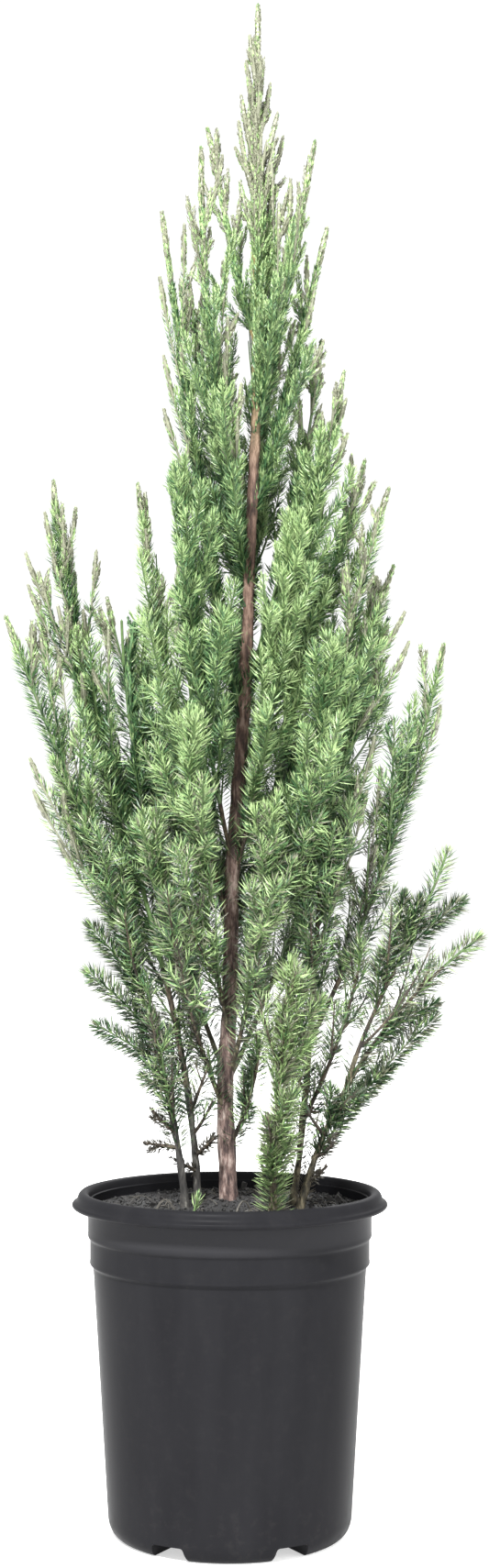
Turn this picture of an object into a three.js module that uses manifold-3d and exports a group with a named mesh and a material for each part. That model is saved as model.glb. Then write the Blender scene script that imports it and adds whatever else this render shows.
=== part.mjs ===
// A young upright Chinese juniper in a black one-gallon nursery pot.
// Millimetres, +Z up, +X to the right and +Y to the back, from the middle of the pot's flat underside.
// The trunk, each bare stem or bough and each plume of foliage is one closed solid with its own name.
import * as THREE from "three";
import { mergeVertices } from "three/addons/utils/BufferGeometryUtils.js";
import Module from "manifold-3d";

const wasm = await Module();
wasm.setup();
const { clamp, lerp, smoothstep, degToRad } = THREE.MathUtils;

// The pot
const POT_HEIGHT = 180.5;
const RIM_RADIUS = 83.6;
const RIM_HEIGHT = 9;
const BODY_TOP_RADIUS = 75.2;
const BODY_FOOT_RADIUS = 64.7;
const BASE_RADIUS = 58.5;
const WALL = 1.7;
const UPPER_STEP_HEIGHT = 156.5;
const UPPER_STEP = 1.1;
const LOWER_STEP_HEIGHT = 142;
const LOWER_STEP = 1.7;
const STEP_RISE = 3;
const CORNER_HEIGHT = 10;
const POT_SIDES = 32;
const CHANNELS = 6;
const CHANNEL_HEIGHT = 7.5;
const CHANNEL_WIDTH = 22;
const CHANNEL_ROOF_WIDTH = 18;
const CHANNEL_START_RADIUS = 30;
const DRAIN_SIZE = 8;
const DRAIN_RADIUS = 48;

// The potting mix
const SOIL_LEVEL = 172;
const SOIL_FLOOR = CHANNEL_HEIGHT + WALL + 0.4;

// Clearance between neighbouring solids, and the size of the slivers that are taken off them
const GAP = 0.3;
const SLIVER = 0.03;

// The trunk
const TRUNK_TOP = 676;
const TRUNK_FOOT_RADIUS = 4.9;
const TRUNK_TOP_RADIUS = 2.3;
const TRUNK_LEAN = 14;
const LEAN_FROM = 260;
const LEAN_TO = 620;
const FLARE = 4;
const FLARE_HEIGHT = 11;
const TRUNK_SIDES = 8;
const TRUNK_STEPS = 18;

// The stems, the boughs and the plumes that they carry
const STEM_SIDES = 6;
const BOUGH_SIDES = 5;
const LIMB_STEP = 22;
const STEM_RADIUS = 2.3;
const STEM_FLARE = 1.35;
const BOUGH_RADIUS = 2.1;
const SHOOT_TIP_RADIUS = 0.7;
const BOUGHS_BELOW = 352;
const BOUGH_SHARE = 0.15;

// The shoots: a three-sided twig whose facets are drawn out into needles
const TWIG_SPACING = 33;
const FEWEST_TWIGS = 4;
const FIRST_TWIG = 0.04;
const LAST_TWIG = 0.92;
const TWIG_RADIUS = 1.25;
const TWIG_TIP_RADIUS = 0.5;
const LONGEST_TWIG = 90;
const SHORTEST_TWIG = 20;
const TWIG_SHARE = 0.45;
const TWIG_TAPER = 0.72;
const TWIG_ANGLE = 34;
const TIP_TWIG_ANGLE = 24;
const TWIG_RISE = 0.55;
const TWIG_KEEPS = [1, 0.8, 0.6];
const TWIG_SWINGS = [0, 45, -45, 90, -90, 135];
const GOLDEN_ANGLE = degToRad(137.508);
const NEEDLE_LENGTH = 21;
const TIP_NEEDLE_LENGTH = 3.5;
const STEM_NEEDLE_LENGTH = 24;
const NEEDLE_ANGLE = degToRad(38);
const NEEDLE_ROW = 24;
const STEM_NEEDLE_ROW = 30;
const TWIG_NEEDLES_FROM = 0.1;
const STEM_NEEDLES_FROM = 0.1;
const SHOOT_SIDES = 3;
const SHOOT_BODY = 0.93;
const FEWEST_ROWS = 3;
const SPACE_MARGIN = 0.8;

// The trunk stays in view from the front, between the plumes on either side of it.
const WINDOW_MARGIN = 1.5;
const WINDOW_TOP = 600;

// The plumes that show from the front. A plume grows from the soil at a point, from the trunk at a height,
// or from another plume's stem at a share of its length. spread is how far out its axis has moved at a third
// and at two thirds of its height, and bare is the share of the axis without foliage.
const SHOWN_PLUMES = [
  { name: "left_outer", root: "soil", foot: [-17, -6], tip: [-94, 5, 558], spread: [0.02, 0.9], bare: 0.15 },
  { name: "left_low", root: "soil", foot: [-23, -17], tip: [-118, -8, 484], spread: [0.1, 0.6], bare: 0.14 },
  { name: "right_main", root: "soil", foot: [33, -8], tip: [84, -8, 552], spread: [0.36, 0.15], bare: 0.26 },
  { name: "low_end", root: "soil", foot: [36, -24], tip: [133, -6, 316], spread: [0.13, 0.34], bare: 0.55 },
  { name: "front_shoot", root: "soil", foot: [22, -36], tip: [31, -40, 304], spread: [0.1, 0.5], bare: 0.07 },
  { name: "right_outer", root: "right_main", foot: 0.23, tip: [114, 4, 471], spread: [0.5, 0.8], bare: 0.1 },
  { name: "low_right", root: "low_end", foot: 0.45, tip: [114, -18, 361], spread: [0.2, 0.75], bare: 0.12 },
  { name: "right_low", root: "right_main", foot: 0.12, tip: [70, -14, 312], spread: [0.5, 0.85], bare: 0 },
  { name: "left_inner", root: "trunk", foot: 236, tip: [-58, 12, 484], spread: [0.6, 0.95] },
  { name: "right_lowest", root: "trunk", foot: 204, tip: [16, -16, 264], spread: [0.6, 0.95], bare: 0 },
  { name: "left_low_front", root: "trunk", foot: 216, tip: [-40, -34, 380], spread: [0.55, 0.9] },
  { name: "left_front", root: "trunk", foot: 262, tip: [-22, -50, 430], spread: [0.55, 0.9] },
  { name: "left_second", root: "trunk", foot: 318, tip: [-48, -20, 552], spread: [0.5, 0.8] },
  { name: "left_middle", root: "trunk", foot: 350, tip: [-24, -34, 560], spread: [0.6, 0.95] },
  { name: "left_upper", root: "trunk", foot: 430, tip: [-36, -2, 699], spread: [0.45, 0.72] },
  { name: "left_column", root: "trunk", foot: 500, tip: [-15, -16, 729], spread: [0.7, 1] },
  { name: "left_top", root: "trunk", foot: 630, tip: [-12, 8, 747], spread: [0.5, 0.65] },
  { name: "right_front", root: "trunk", foot: 240, tip: [22, -42, 384], spread: [0.55, 0.9] },
  { name: "right_front_middle", root: "trunk", foot: 282, tip: [54, -42, 468], spread: [0.5, 0.85] },
  { name: "right_front_upper", root: "trunk", foot: 345, tip: [33, -30, 534], spread: [0.55, 0.9] },
  { name: "right_second", root: "trunk", foot: 446, tip: [60, -14, 612], spread: [0.5, 0.8] },
  { name: "right_middle", root: "trunk", foot: 366, tip: [88, 14, 514], spread: [0.5, 0.8] },
  { name: "right_third", root: "trunk", foot: 404, tip: [72, 4, 569], spread: [0.5, 0.8] },
  { name: "right_upper", root: "trunk", foot: 540, tip: [52, 9, 694], spread: [0.4, 0.7] },
  { name: "right_column", root: "trunk", foot: 580, tip: [45, -8, 735], spread: [0.4, 0.7] },
  { name: "leader", root: "trunk_top", tip: [15, 0, 810], spread: [0.33, 0.66] },
];

// Short dead twigs on the bare stems, at a share of the plume's axis
const DEAD_TWIGS = [
  { on: "left_low", share: 0.105, tip: [-45, -20, 208] },
  { on: "left_outer", share: 0.07, tip: [-7, -18, 211] },
];
const DEAD_TWIG_RADIUS = 1.3;
const DEAD_TWIG_SIDES = 4;

// The back of the crown is filled by two tiers of plumes, spaced evenly by angle from the right to the left.
const BACK_TIERS = [
  { name: "back_low", count: 5, turns: [34, 152], reach: 88, foot: 240, footRise: 22, tips: [500, 528] },
  { name: "back_high", count: 4, turns: [44, 148], reach: 50, foot: 440, footRise: 24, tips: [640, 672] },
];

const INNER_REACH = 0.86;
const BACK_SPREAD = [0.5, 0.83];

// Colours and finish
const FINISHES = {
  pot: { color: 0x2a2a2c, roughness: 0.5, metalness: 0 },
  soil: { color: 0x29221d, roughness: 0.95, metalness: 0 },
  bark: { color: 0x6b5347, roughness: 0.9, metalness: 0 },
  needles: { color: 0x7f9a62, roughness: 0.7, metalness: 0 },
};

const UP = new THREE.Vector3(0, 0, 1);
const juniper = new THREE.Group();

function addMesh(name, geometry, finish) {
  const mesh = new THREE.Mesh(geometry, new THREE.MeshStandardMaterial(FINISHES[finish]));
  mesh.name = name;
  juniper.add(mesh);
}

// Solids for cutting and joining

function solidOf(geometry) {
  const bare = geometry.clone();
  bare.deleteAttribute("normal");
  bare.deleteAttribute("uv");
  const merged = mergeVertices(bare, 1e-4);
  const corners = merged.index.array;
  const faces = [];
  for (let i = 0; i < corners.length; i += 3) {
    const [a, b, c] = corners.slice(i, i + 3);
    if (a !== b && b !== c && c !== a) faces.push(a, b, c);
  }
  const vertProperties = new Float32Array(merged.attributes.position.array);
  return new wasm.Manifold(new wasm.Mesh({ numProp: 3, vertProperties, triVerts: new Uint32Array(faces) }));
}

function geometryOf(solid) {
  const { vertProperties, triVerts } = solid.getMesh();
  const geometry = new THREE.BufferGeometry();
  geometry.setAttribute("position", new THREE.BufferAttribute(vertProperties, 3));
  geometry.setIndex(new THREE.BufferAttribute(triVerts, 1));
  geometry.computeVertexNormals();
  return geometry;
}

// What is left of a solid after a cut, without the slivers that the cut sets loose.
function mainPiece(solid) {
  return solid.decompose().reduce((best, piece) => (piece.volume() > best.volume() ? piece : best));
}

function boxesNear(a, b, reach) {
  return [0, 1, 2].every((k) => a.min[k] - reach < b.max[k] && b.min[k] - reach < a.max[k]);
}

function isClear(solid, others) {
  const box = solid.boundingBox();
  return others.every((other) => !boxesNear(box, other.box, GAP) || solid.minGap(other.solid, GAP) >= GAP);
}

// A repeatable random number source: one seed always grows the same twigs.
function seeded(seed) {
  let state = seed >>> 0;
  return () => {
    state = (state + 0x6d2b79f5) >>> 0;
    let mixed = Math.imul(state ^ (state >>> 15), state | 1);
    mixed ^= mixed + Math.imul(mixed ^ (mixed >>> 7), mixed | 61);
    return ((mixed ^ (mixed >>> 14)) >>> 0) / 4294967296;
  };
}

// Pot

function lathe(profile) {
  const points = profile.map(([radius, height]) => new THREE.Vector2(radius, height));
  return solidOf(new THREE.LatheGeometry(points, POT_SIDES).rotateX(Math.PI / 2));
}

function bodyRadius(height) {
  if (height > UPPER_STEP_HEIGHT) return BODY_TOP_RADIUS;
  if (height > LOWER_STEP_HEIGHT) return BODY_TOP_RADIUS - UPPER_STEP;
  const taper = (height - CORNER_HEIGHT) / (LOWER_STEP_HEIGHT - CORNER_HEIGHT);
  return lerp(BODY_FOOT_RADIUS, BODY_TOP_RADIUS - UPPER_STEP - LOWER_STEP, taper);
}

// The outside of the body below the rim, as radius and height, drawn in by inset on every face.
function bodyProfile(inset) {
  const corner = [30, 60].map((turn) => {
    const angle = degToRad(turn);
    const radius = lerp(BASE_RADIUS, BODY_FOOT_RADIUS, Math.sin(angle));
    const height = CORNER_HEIGHT * (1 - Math.cos(angle));
    return [radius - inset * Math.sin(angle), height + inset * Math.cos(angle)];
  });
  const half = STEP_RISE / 2;
  const steps = [LOWER_STEP_HEIGHT, UPPER_STEP_HEIGHT].flatMap((height) => [height - half, height + half]);
  const heights = [CORNER_HEIGHT, ...steps, POT_HEIGHT - RIM_HEIGHT];
  const wall = heights.map((height) => [bodyRadius(height) - inset, height]);
  return [[0, inset], [BASE_RADIUS, inset], ...corner, ...wall];
}

// The rim: out from the wall under a flat lip, round its edge, up a hollow face, over the top and down inside the wall.
function rimProfile() {
  const start = POT_HEIGHT - RIM_HEIGHT;
  return [
    [RIM_RADIUS - 1.2, start + 0.4],
    [RIM_RADIUS, start + 1.9],
    [RIM_RADIUS - 0.6, start + 3.2],
    [RIM_RADIUS - 2.5, start + 4.8],
    [RIM_RADIUS - 3.4, start + 7.2],
    [RIM_RADIUS - 5.6, POT_HEIGHT],
    [BODY_TOP_RADIUS, POT_HEIGHT - 0.8],
    [BODY_TOP_RADIUS - WALL, POT_HEIGHT - 4],
  ];
}

// One drain channel under the floor, from near the middle out past the corner, widened by grow on every face.
function channel(angle, grow) {
  const half = CHANNEL_WIDTH / 2 + grow;
  const roof = CHANNEL_ROOF_WIDTH / 2 + grow;
  const below = grow + 1;
  const section = new THREE.Shape();
  section.moveTo(-half, -below).lineTo(half, -below).lineTo(roof, CHANNEL_HEIGHT + grow);
  section.lineTo(-roof, CHANNEL_HEIGHT + grow).closePath();
  const start = CHANNEL_START_RADIUS - grow;
  const run = new THREE.ExtrudeGeometry(section, { depth: RIM_RADIUS - start, bevelEnabled: false });
  run.rotateX(Math.PI / 2).rotateZ(Math.PI).translate(0, start, 0);
  return solidOf(run.rotateZ(angle));
}

function drain(angle) {
  const hole = new THREE.BoxGeometry(DRAIN_SIZE, DRAIN_SIZE, CHANNEL_HEIGHT * 4);
  return solidOf(hole.translate(0, DRAIN_RADIUS, CHANNEL_HEIGHT).rotateZ(angle));
}

function makePot() {
  const outside = lathe([...bodyProfile(0), ...rimProfile(), [0, POT_HEIGHT - 4]]);
  let cavity = lathe([...bodyProfile(WALL), [BODY_TOP_RADIUS - WALL, POT_HEIGHT + 1], [0, POT_HEIGHT + 1]]);
  let pot = outside;
  for (let i = 0; i < CHANNELS; i++) {
    const angle = (2 * Math.PI * (i + 0.5)) / CHANNELS;
    cavity = cavity.subtract(channel(angle, WALL)).add(drain(angle));
    pot = pot.subtract(channel(angle, 0));
  }
  return pot.subtract(cavity);
}

function makeSoil() {
  const wall = WALL + GAP;
  return lathe([
    [0, SOIL_FLOOR],
    [bodyRadius(CORNER_HEIGHT) - wall - 1, SOIL_FLOOR],
    [bodyRadius(LOWER_STEP_HEIGHT - STEP_RISE) - wall, LOWER_STEP_HEIGHT - STEP_RISE],
    [bodyRadius(SOIL_LEVEL) - wall, SOIL_LEVEL],
    [0, SOIL_LEVEL],
  ]);
}

// Trunk and limbs

function trunkAxis(height) {
  return new THREE.Vector3(TRUNK_LEAN * smoothstep(height, LEAN_FROM, LEAN_TO), 0, height);
}

function trunkRadius(height) {
  const share = (height - SOIL_LEVEL) / (TRUNK_TOP - SOIL_LEVEL);
  const flare = FLARE * Math.exp((SOIL_LEVEL - height) / FLARE_HEIGHT);
  return lerp(TRUNK_FOOT_RADIUS, TRUNK_TOP_RADIUS, share) + flare;
}

// A closed limb through rings of equal sides: each ring has a centre, two cross directions and a radius.
function limbGeometry(rings, sides) {
  const positions = [];
  const faces = [];
  for (const { centre, across, over, radius } of rings)
    for (let side = 0; side < sides; side++) {
      const angle = (2 * Math.PI * side) / sides;
      const point = centre.clone().addScaledVector(across, radius * Math.cos(angle));
      positions.push(...point.addScaledVector(over, radius * Math.sin(angle)).toArray());
    }
  for (let ring = 0; ring + 1 < rings.length; ring++)
    for (let side = 0; side < sides; side++) {
      const next = (side + 1) % sides;
      const [a, b] = [ring * sides + side, ring * sides + next];
      faces.push(a, b, b + sides, a, b + sides, a + sides);
    }
  const last = (rings.length - 1) * sides;
  for (let side = 1; side + 1 < sides; side++) {
    faces.push(0, side + 1, side);
    faces.push(last, last + side, last + side + 1);
  }
  const geometry = new THREE.BufferGeometry().setIndex(faces);
  return geometry.setAttribute("position", new THREE.Float32BufferAttribute(positions, 3));
}

function makeTrunk(grow) {
  const foot = SOIL_LEVEL + GAP - grow;
  const rings = [];
  for (let step = 0; step <= TRUNK_STEPS; step++) {
    const height = lerp(foot, TRUNK_TOP + grow, (step / TRUNK_STEPS) ** 1.4);
    const across = new THREE.Vector3(1, 0, 0);
    const over = new THREE.Vector3(0, 1, 0);
    rings.push({ centre: trunkAxis(height), across, over, radius: trunkRadius(height) + grow });
  }
  return solidOf(limbGeometry(rings, TRUNK_SIDES));
}

// Two directions square to a tangent, the first as near as can be to the given one.
function crossDirections(tangent, near) {
  const across = near.clone().addScaledVector(tangent, -near.dot(tangent)).normalize();
  return { across, over: tangent.clone().cross(across) };
}

// Plumes

function tierPlume(tier, i) {
  const angle = degToRad(lerp(...tier.turns, i / (tier.count - 1)));
  const reach = tier.reach * (i % 2 ? INNER_REACH : 1);
  const height = tier.tips[i % 2];
  const tip = [trunkAxis(height).x + reach * Math.cos(angle), reach * Math.sin(angle), height];
  const foot = tier.foot + i * tier.footRise;
  return { name: `${tier.name}_${i + 1}`, root: "trunk", foot, tip, spread: BACK_SPREAD };
}

function hiddenPlumes() {
  return BACK_TIERS.flatMap((tier) => Array.from({ length: tier.count }, (_, i) => tierPlume(tier, i)));
}

function footOf(plume, plumes) {
  if (plume.root === "soil") return new THREE.Vector3(...plume.foot, SOIL_LEVEL + GAP);
  if (plume.root === "trunk") return trunkAxis(plume.foot);
  if (plume.root === "trunk_top") return trunkAxis(TRUNK_TOP + GAP);
  return plumes.find(({ name }) => name === plume.root).axis.getPoint(plume.foot);
}

// Gives each plume its axis, a curve from foot to tip, and the share of it that is bare wood.
function layOut(plumes) {
  plumes.forEach((plume, index) => {
    const foot = footOf(plume, plumes);
    const tip = new THREE.Vector3(...plume.tip);
    const bends = plume.spread.map((spread, i) => {
      const bend = foot.clone().lerp(tip, spread);
      return bend.setZ(lerp(foot.z, tip.z, (i + 1) / 3));
    });
    plume.axis = new THREE.CubicBezierCurve3(foot, ...bends, tip);
    plume.length = plume.axis.getLength();
    plume.bare ??= plume.root === "trunk" && plume.foot < BOUGHS_BELOW ? BOUGH_SHARE : 0;
    plume.radius = { soil: STEM_RADIUS, trunk_top: TRUNK_TOP_RADIUS }[plume.root] ?? BOUGH_RADIUS;
    plume.trail = plume.axis.getPoints(16);
    plume.random = seeded(index + 1);
  });
  return plumes;
}

function axisRadius(plume, share) {
  return lerp(plume.radius, SHOOT_TIP_RADIUS, share);
}

function nearest(trail, point) {
  let best = Infinity;
  const onto = new THREE.Vector3();
  for (let i = 0; i + 1 < trail.length; i++) {
    new THREE.Line3(trail[i], trail[i + 1]).closestPointToPoint(point, true, onto);
    best = Math.min(best, onto.distanceTo(point));
  }
  return best;
}

// A plume's own space lies nearer to its axis than to any other, off the trunk, the pot and the window.
function inOwnSpace(point, plume, plumes) {
  if (point.z < POT_HEIGHT + 2 && Math.hypot(point.x, point.y) > BODY_TOP_RADIUS - 6) return false;
  if (point.z < SOIL_LEVEL + 2) return false;
  const trunk = trunkAxis(Math.min(point.z, TRUNK_TOP));
  const offTrunk = Math.hypot(point.x - trunk.x, point.y - trunk.y);
  if (plume.root !== "trunk_top" && offTrunk < trunkRadius(point.z) + 2) return false;
  const inFront = point.y < 0 && Math.abs(point.x - trunk.x) < trunkRadius(point.z) + WINDOW_MARGIN;
  if (inFront && point.z < WINDOW_TOP) return false;
  const own = nearest(plume.trail, point) + SPACE_MARGIN;
  return plumes.every((other) => other === plume || nearest(other.trail, point) > own);
}

// A dead twig on a plume's bare wood, straight from the axis to its tip.
function deadTwig(plume, { share, tip }) {
  const foot = plume.axis.getPoint(share);
  const end = new THREE.Vector3(...tip);
  const frame = crossDirections(end.clone().sub(foot).normalize(), UP);
  const rings = [
    { centre: foot, ...frame, radius: DEAD_TWIG_RADIUS },
    { centre: end, ...frame, radius: DEAD_TWIG_RADIUS / 2 },
  ];
  return solidOf(limbGeometry(rings, DEAD_TWIG_SIDES));
}

// The bare wood at the foot of a plume, from its root to where the foliage begins.
function bareLimb(plume, grow) {
  const sides = plume.root === "soil" ? STEM_SIDES : BOUGH_SIDES;
  const steps = Math.max(2, Math.ceil((plume.length * plume.bare) / LIMB_STEP));
  const rings = [];
  for (let step = 0; step <= steps; step++) {
    const share = (plume.bare * step) / steps;
    const level = plume.root === "soil" && step === 0;
    const tangent = level ? UP : plume.axis.getTangent(share);
    const flare = level ? STEM_FLARE : 1;
    const frame = crossDirections(tangent, new THREE.Vector3(1, 0, 0));
    const radius = flare * axisRadius(plume, share) + grow;
    rings.push({ centre: plume.axis.getPoint(share), ...frame, radius });
  }
  const twigs = DEAD_TWIGS.filter(({ on }) => on === plume.name).map((twig) => deadTwig(plume, twig));
  return wasm.Manifold.union([solidOf(limbGeometry(rings, sides)), ...twigs]);
}

// The rings of a shoot: its centre line, cross directions, thickness and needle length at each row.
function shootRings({ curve, from, rowLength, radius, needle }) {
  const rows = Math.max(FEWEST_ROWS, Math.round((curve.getLength() * (1 - from)) / rowLength));
  return Array.from({ length: rows + 1 }, (_, row) => {
    const share = from + ((1 - from) * SHOOT_BODY * row) / rows;
    const tangent = curve.getTangent(share);
    const frame = crossDirections(tangent, new THREE.Vector3(1, 0.3, 0));
    const sizes = { radius: radius(share), needle: needle(share + 1 / rows) };
    return { share, centre: curve.getPoint(share), tangent, ...frame, ...sizes };
  });
}

function ringPoints({ centre, across, over, radius }) {
  return Array.from({ length: SHOOT_SIDES }, (_, side) => {
    const angle = (2 * Math.PI * side) / SHOOT_SIDES;
    const point = centre.clone().addScaledVector(across, radius * Math.cos(angle));
    return point.addScaledVector(over, radius * Math.sin(angle));
  });
}

// The point of the needle on one side of a row, out and up from the middle of its facet.
function needlePoint(facet, rows, side) {
  const angle = (2 * Math.PI * (side + 0.5)) / SHOOT_SIDES;
  const out = new THREE.Vector3();
  const along = new THREE.Vector3();
  for (const { across, over, tangent } of rows) {
    out.addScaledVector(across, Math.cos(angle)).addScaledVector(over, Math.sin(angle));
    along.add(tangent);
  }
  const point = new THREE.Vector3();
  facet.forEach((corner) => point.addScaledVector(corner, 1 / facet.length));
  point.addScaledVector(out.normalize(), rows[0].needle * Math.sin(NEEDLE_ANGLE));
  return point.addScaledVector(along.normalize(), rows[0].needle * Math.cos(NEEDLE_ANGLE));
}

// A shoot along a curve. Each facet between two rings rises to a point, which is one needle.
// A facet below needlesFrom, or whose needle is not allowed, stays flat.
function shoot(shape) {
  const rings = shootRings(shape);
  const points = rings.flatMap(ringPoints);
  const faces = [];
  for (let row = 0; row + 1 < rings.length; row++)
    for (let side = 0; side < SHOOT_SIDES; side++) {
      const a = row * SHOOT_SIDES + side;
      const b = row * SHOOT_SIDES + ((side + 1) % SHOOT_SIDES);
      const corners = [a, b, b + SHOOT_SIDES, a + SHOOT_SIDES];
      const facet = corners.map((corner) => points[corner]);
      const apex = needlePoint(facet, rings.slice(row, row + 2), side);
      if (rings[row].share < shape.needlesFrom || !shape.allowed(apex)) {
        faces.push(a, b, b + SHOOT_SIDES, a, b + SHOOT_SIDES, a + SHOOT_SIDES);
        continue;
      }
      const top = points.push(apex) - 1;
      corners.forEach((corner, i) => faces.push(corner, corners[(i + 1) % corners.length], top));
    }
  const tip = points.push(shape.curve.getPoint(1)) - 1;
  const last = (rings.length - 1) * SHOOT_SIDES;
  for (let side = 0; side < SHOOT_SIDES; side++)
    faces.push(last + side, last + ((side + 1) % SHOOT_SIDES), tip);
  faces.push(0, 2, 1);
  const positions = points.flatMap((point) => point.toArray());
  const geometry = new THREE.BufferGeometry().setIndex(faces);
  return solidOf(geometry.setAttribute("position", new THREE.Float32BufferAttribute(positions, 3)));
}

// The rule by which twigs leave a plume's stem: up its axis at even steps, turned by the golden angle,
// long and wide below and short and steep towards the tip.
function twigRule(plume) {
  const first = plume.bare + FIRST_TWIG * (1 - plume.bare);
  const count = Math.max(FEWEST_TWIGS, Math.round((plume.length * (1 - plume.bare)) / TWIG_SPACING));
  const fullLength = clamp(plume.length * TWIG_SHARE, SHORTEST_TWIG, LONGEST_TWIG);
  const start = 2 * Math.PI * plume.random();
  return Array.from({ length: count }, (_, i) => {
    const share = lerp(first, LAST_TWIG, (i + 0.6 * plume.random()) / count);
    const height = (share - first) / (1 - first);
    const length = fullLength * (1 - TWIG_TAPER * height) * lerp(0.85, 1.15, plume.random());
    return { share, turn: start + i * GOLDEN_ANGLE, length: Math.max(SHORTEST_TWIG, length), height };
  });
}

// One twig: it leaves the stem at an angle and bends up as it grows.
function twigCurve(plume, { share, turn, length, height }) {
  const tangent = plume.axis.getTangent(share);
  const { across, over } = crossDirections(tangent, new THREE.Vector3(1, 0, 0));
  const side = across.multiplyScalar(Math.cos(turn)).addScaledVector(over, Math.sin(turn));
  const angle = degToRad(lerp(TWIG_ANGLE, TIP_TWIG_ANGLE, height));
  const leave = tangent.clone().multiplyScalar(Math.cos(angle)).addScaledVector(side, Math.sin(angle));
  const end = leave.clone().lerp(UP, TWIG_RISE).normalize();
  const foot = plume.axis.getPoint(share);
  const bend = foot.clone().addScaledVector(leave, length * 0.5);
  return new THREE.QuadraticBezierCurve3(foot, bend, bend.clone().addScaledVector(end, length * 0.5));
}

// The stem of a plume's foliage, starting clear of the wood that carries it.
function leafyStem(plume, allowed) {
  return shoot({
    curve: plume.axis,
    from: plume.bare > 0 || plume.root === "trunk_top" ? plume.bare + GAP / plume.length : 0,
    needlesFrom: STEM_NEEDLES_FROM,
    rowLength: STEM_NEEDLE_ROW,
    radius: (share) => axisRadius(plume, share),
    needle: (share) => lerp(STEM_NEEDLE_LENGTH, TIP_NEEDLE_LENGTH, share),
    allowed,
  });
}

function twigShoot(curve, allowed) {
  return shoot({
    curve,
    from: 0,
    needlesFrom: TWIG_NEEDLES_FROM,
    rowLength: NEEDLE_ROW,
    radius: (share) => lerp(TWIG_RADIUS, TWIG_TIP_RADIUS, share),
    needle: (share) => lerp(NEEDLE_LENGTH, TIP_NEEDLE_LENGTH, share),
    allowed,
  });
}

// A twig that keeps to its plume's own space, at the rule's turn and length or the nearest that has room.
function roomyTwig(plume, twig, allowed, neighbours) {
  for (const keep of TWIG_KEEPS)
    for (const swing of TWIG_SWINGS) {
      const turn = twig.turn + degToRad(swing);
      const curve = twigCurve(plume, { ...twig, turn, length: twig.length * keep });
      if (![0.5, 0.75, 1].every((share) => allowed(curve.getPoint(share)))) continue;
      const solid = twigShoot(curve, allowed);
      if (isClear(solid, neighbours)) return solid;
    }
  return null;
}

// Joins the stem and those twigs that find room, clear of every limb and earlier plume.
function growFoliage(plume, plumes, neighbours, thickParent) {
  const allowed = (point) => inOwnSpace(point, plume, plumes);
  const pieces = [leafyStem(plume, allowed)];
  for (const twig of twigRule(plume)) {
    const solid = roomyTwig(plume, twig, allowed, neighbours);
    if (solid) pieces.push(solid);
  }
  const joined = wasm.Manifold.union(pieces);
  const cleared = thickParent && plume.bare === 0 ? mainPiece(joined.subtract(thickParent)) : joined;
  return cleared.simplify(SLIVER);
}

// Assembly

function withBox(solid) {
  return { solid, box: solid.boundingBox() };
}

const pot = makePot();
const soil = makeSoil();
const trunk = makeTrunk(0);
const thickTrunk = makeTrunk(GAP);
addMesh("pot", geometryOf(pot), "pot");
addMesh("potting_soil", geometryOf(soil), "soil");
addMesh("trunk", geometryOf(trunk), "bark");

const plumes = layOut([...SHOWN_PLUMES, ...hiddenPlumes()]);
const neighbours = [pot, soil, trunk].map(withBox);

// The wood that a plume grows from, thickened by the clearance.
function thickParentOf(plume) {
  if (plume.root === "trunk") return thickTrunk;
  const parent = plumes.find(({ name }) => name === plume.root);
  return parent && bareLimb(parent, GAP);
}

for (const plume of plumes) {
  if (plume.bare === 0) continue;
  const thickParent = thickParentOf(plume);
  const limb = bareLimb(plume, 0);
  const cleared = thickParent ? mainPiece(limb.subtract(thickParent)) : limb;
  const kind = plume.root === "soil" ? "stem" : "bough";
  addMesh(`${plume.name}_${kind}`, geometryOf(cleared), "bark");
  neighbours.push(withBox(cleared));
}
for (const plume of plumes) {
  const foliage = growFoliage(plume, plumes, neighbours, thickParentOf(plume));
  addMesh(`${plume.name}_foliage`, geometryOf(foliage), "needles");
  neighbours.push(withBox(foliage));
}

export default juniper;
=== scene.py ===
"""The looks of a young upright juniper in a black nursery pot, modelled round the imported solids.

Blender works in metres, with +Z up, +X to the right and +Y to the back, from the middle of the pot's
underside. Sizes are written in millimetres, as in the part's source, and become metres in the meshes.
"""
import math
from collections import namedtuple

import bpy
import numpy as np
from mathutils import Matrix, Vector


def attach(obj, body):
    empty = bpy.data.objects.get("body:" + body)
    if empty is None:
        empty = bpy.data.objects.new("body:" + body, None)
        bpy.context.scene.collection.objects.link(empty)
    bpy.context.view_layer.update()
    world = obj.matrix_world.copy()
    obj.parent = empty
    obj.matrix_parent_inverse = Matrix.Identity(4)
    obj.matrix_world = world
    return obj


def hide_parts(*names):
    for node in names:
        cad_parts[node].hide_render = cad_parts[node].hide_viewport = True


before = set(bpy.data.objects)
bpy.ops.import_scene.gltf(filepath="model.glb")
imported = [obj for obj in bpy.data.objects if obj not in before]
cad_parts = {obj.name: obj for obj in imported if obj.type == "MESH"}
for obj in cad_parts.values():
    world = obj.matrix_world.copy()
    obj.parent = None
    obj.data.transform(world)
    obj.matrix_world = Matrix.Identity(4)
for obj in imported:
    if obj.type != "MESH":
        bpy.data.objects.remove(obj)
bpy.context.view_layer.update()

MM = 0.001

# The photograph's frame and the camera that took it
IMAGE_WIDTH = 533
IMAGE_HEIGHT = 1710
FOCAL_PIXELS = 2464
POT_COLUMN = 250.5
HORIZON_ROW = 958
CAMERA_DISTANCE = 1200
CAMERA_HEIGHT = 346
SENSOR = 36

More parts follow.
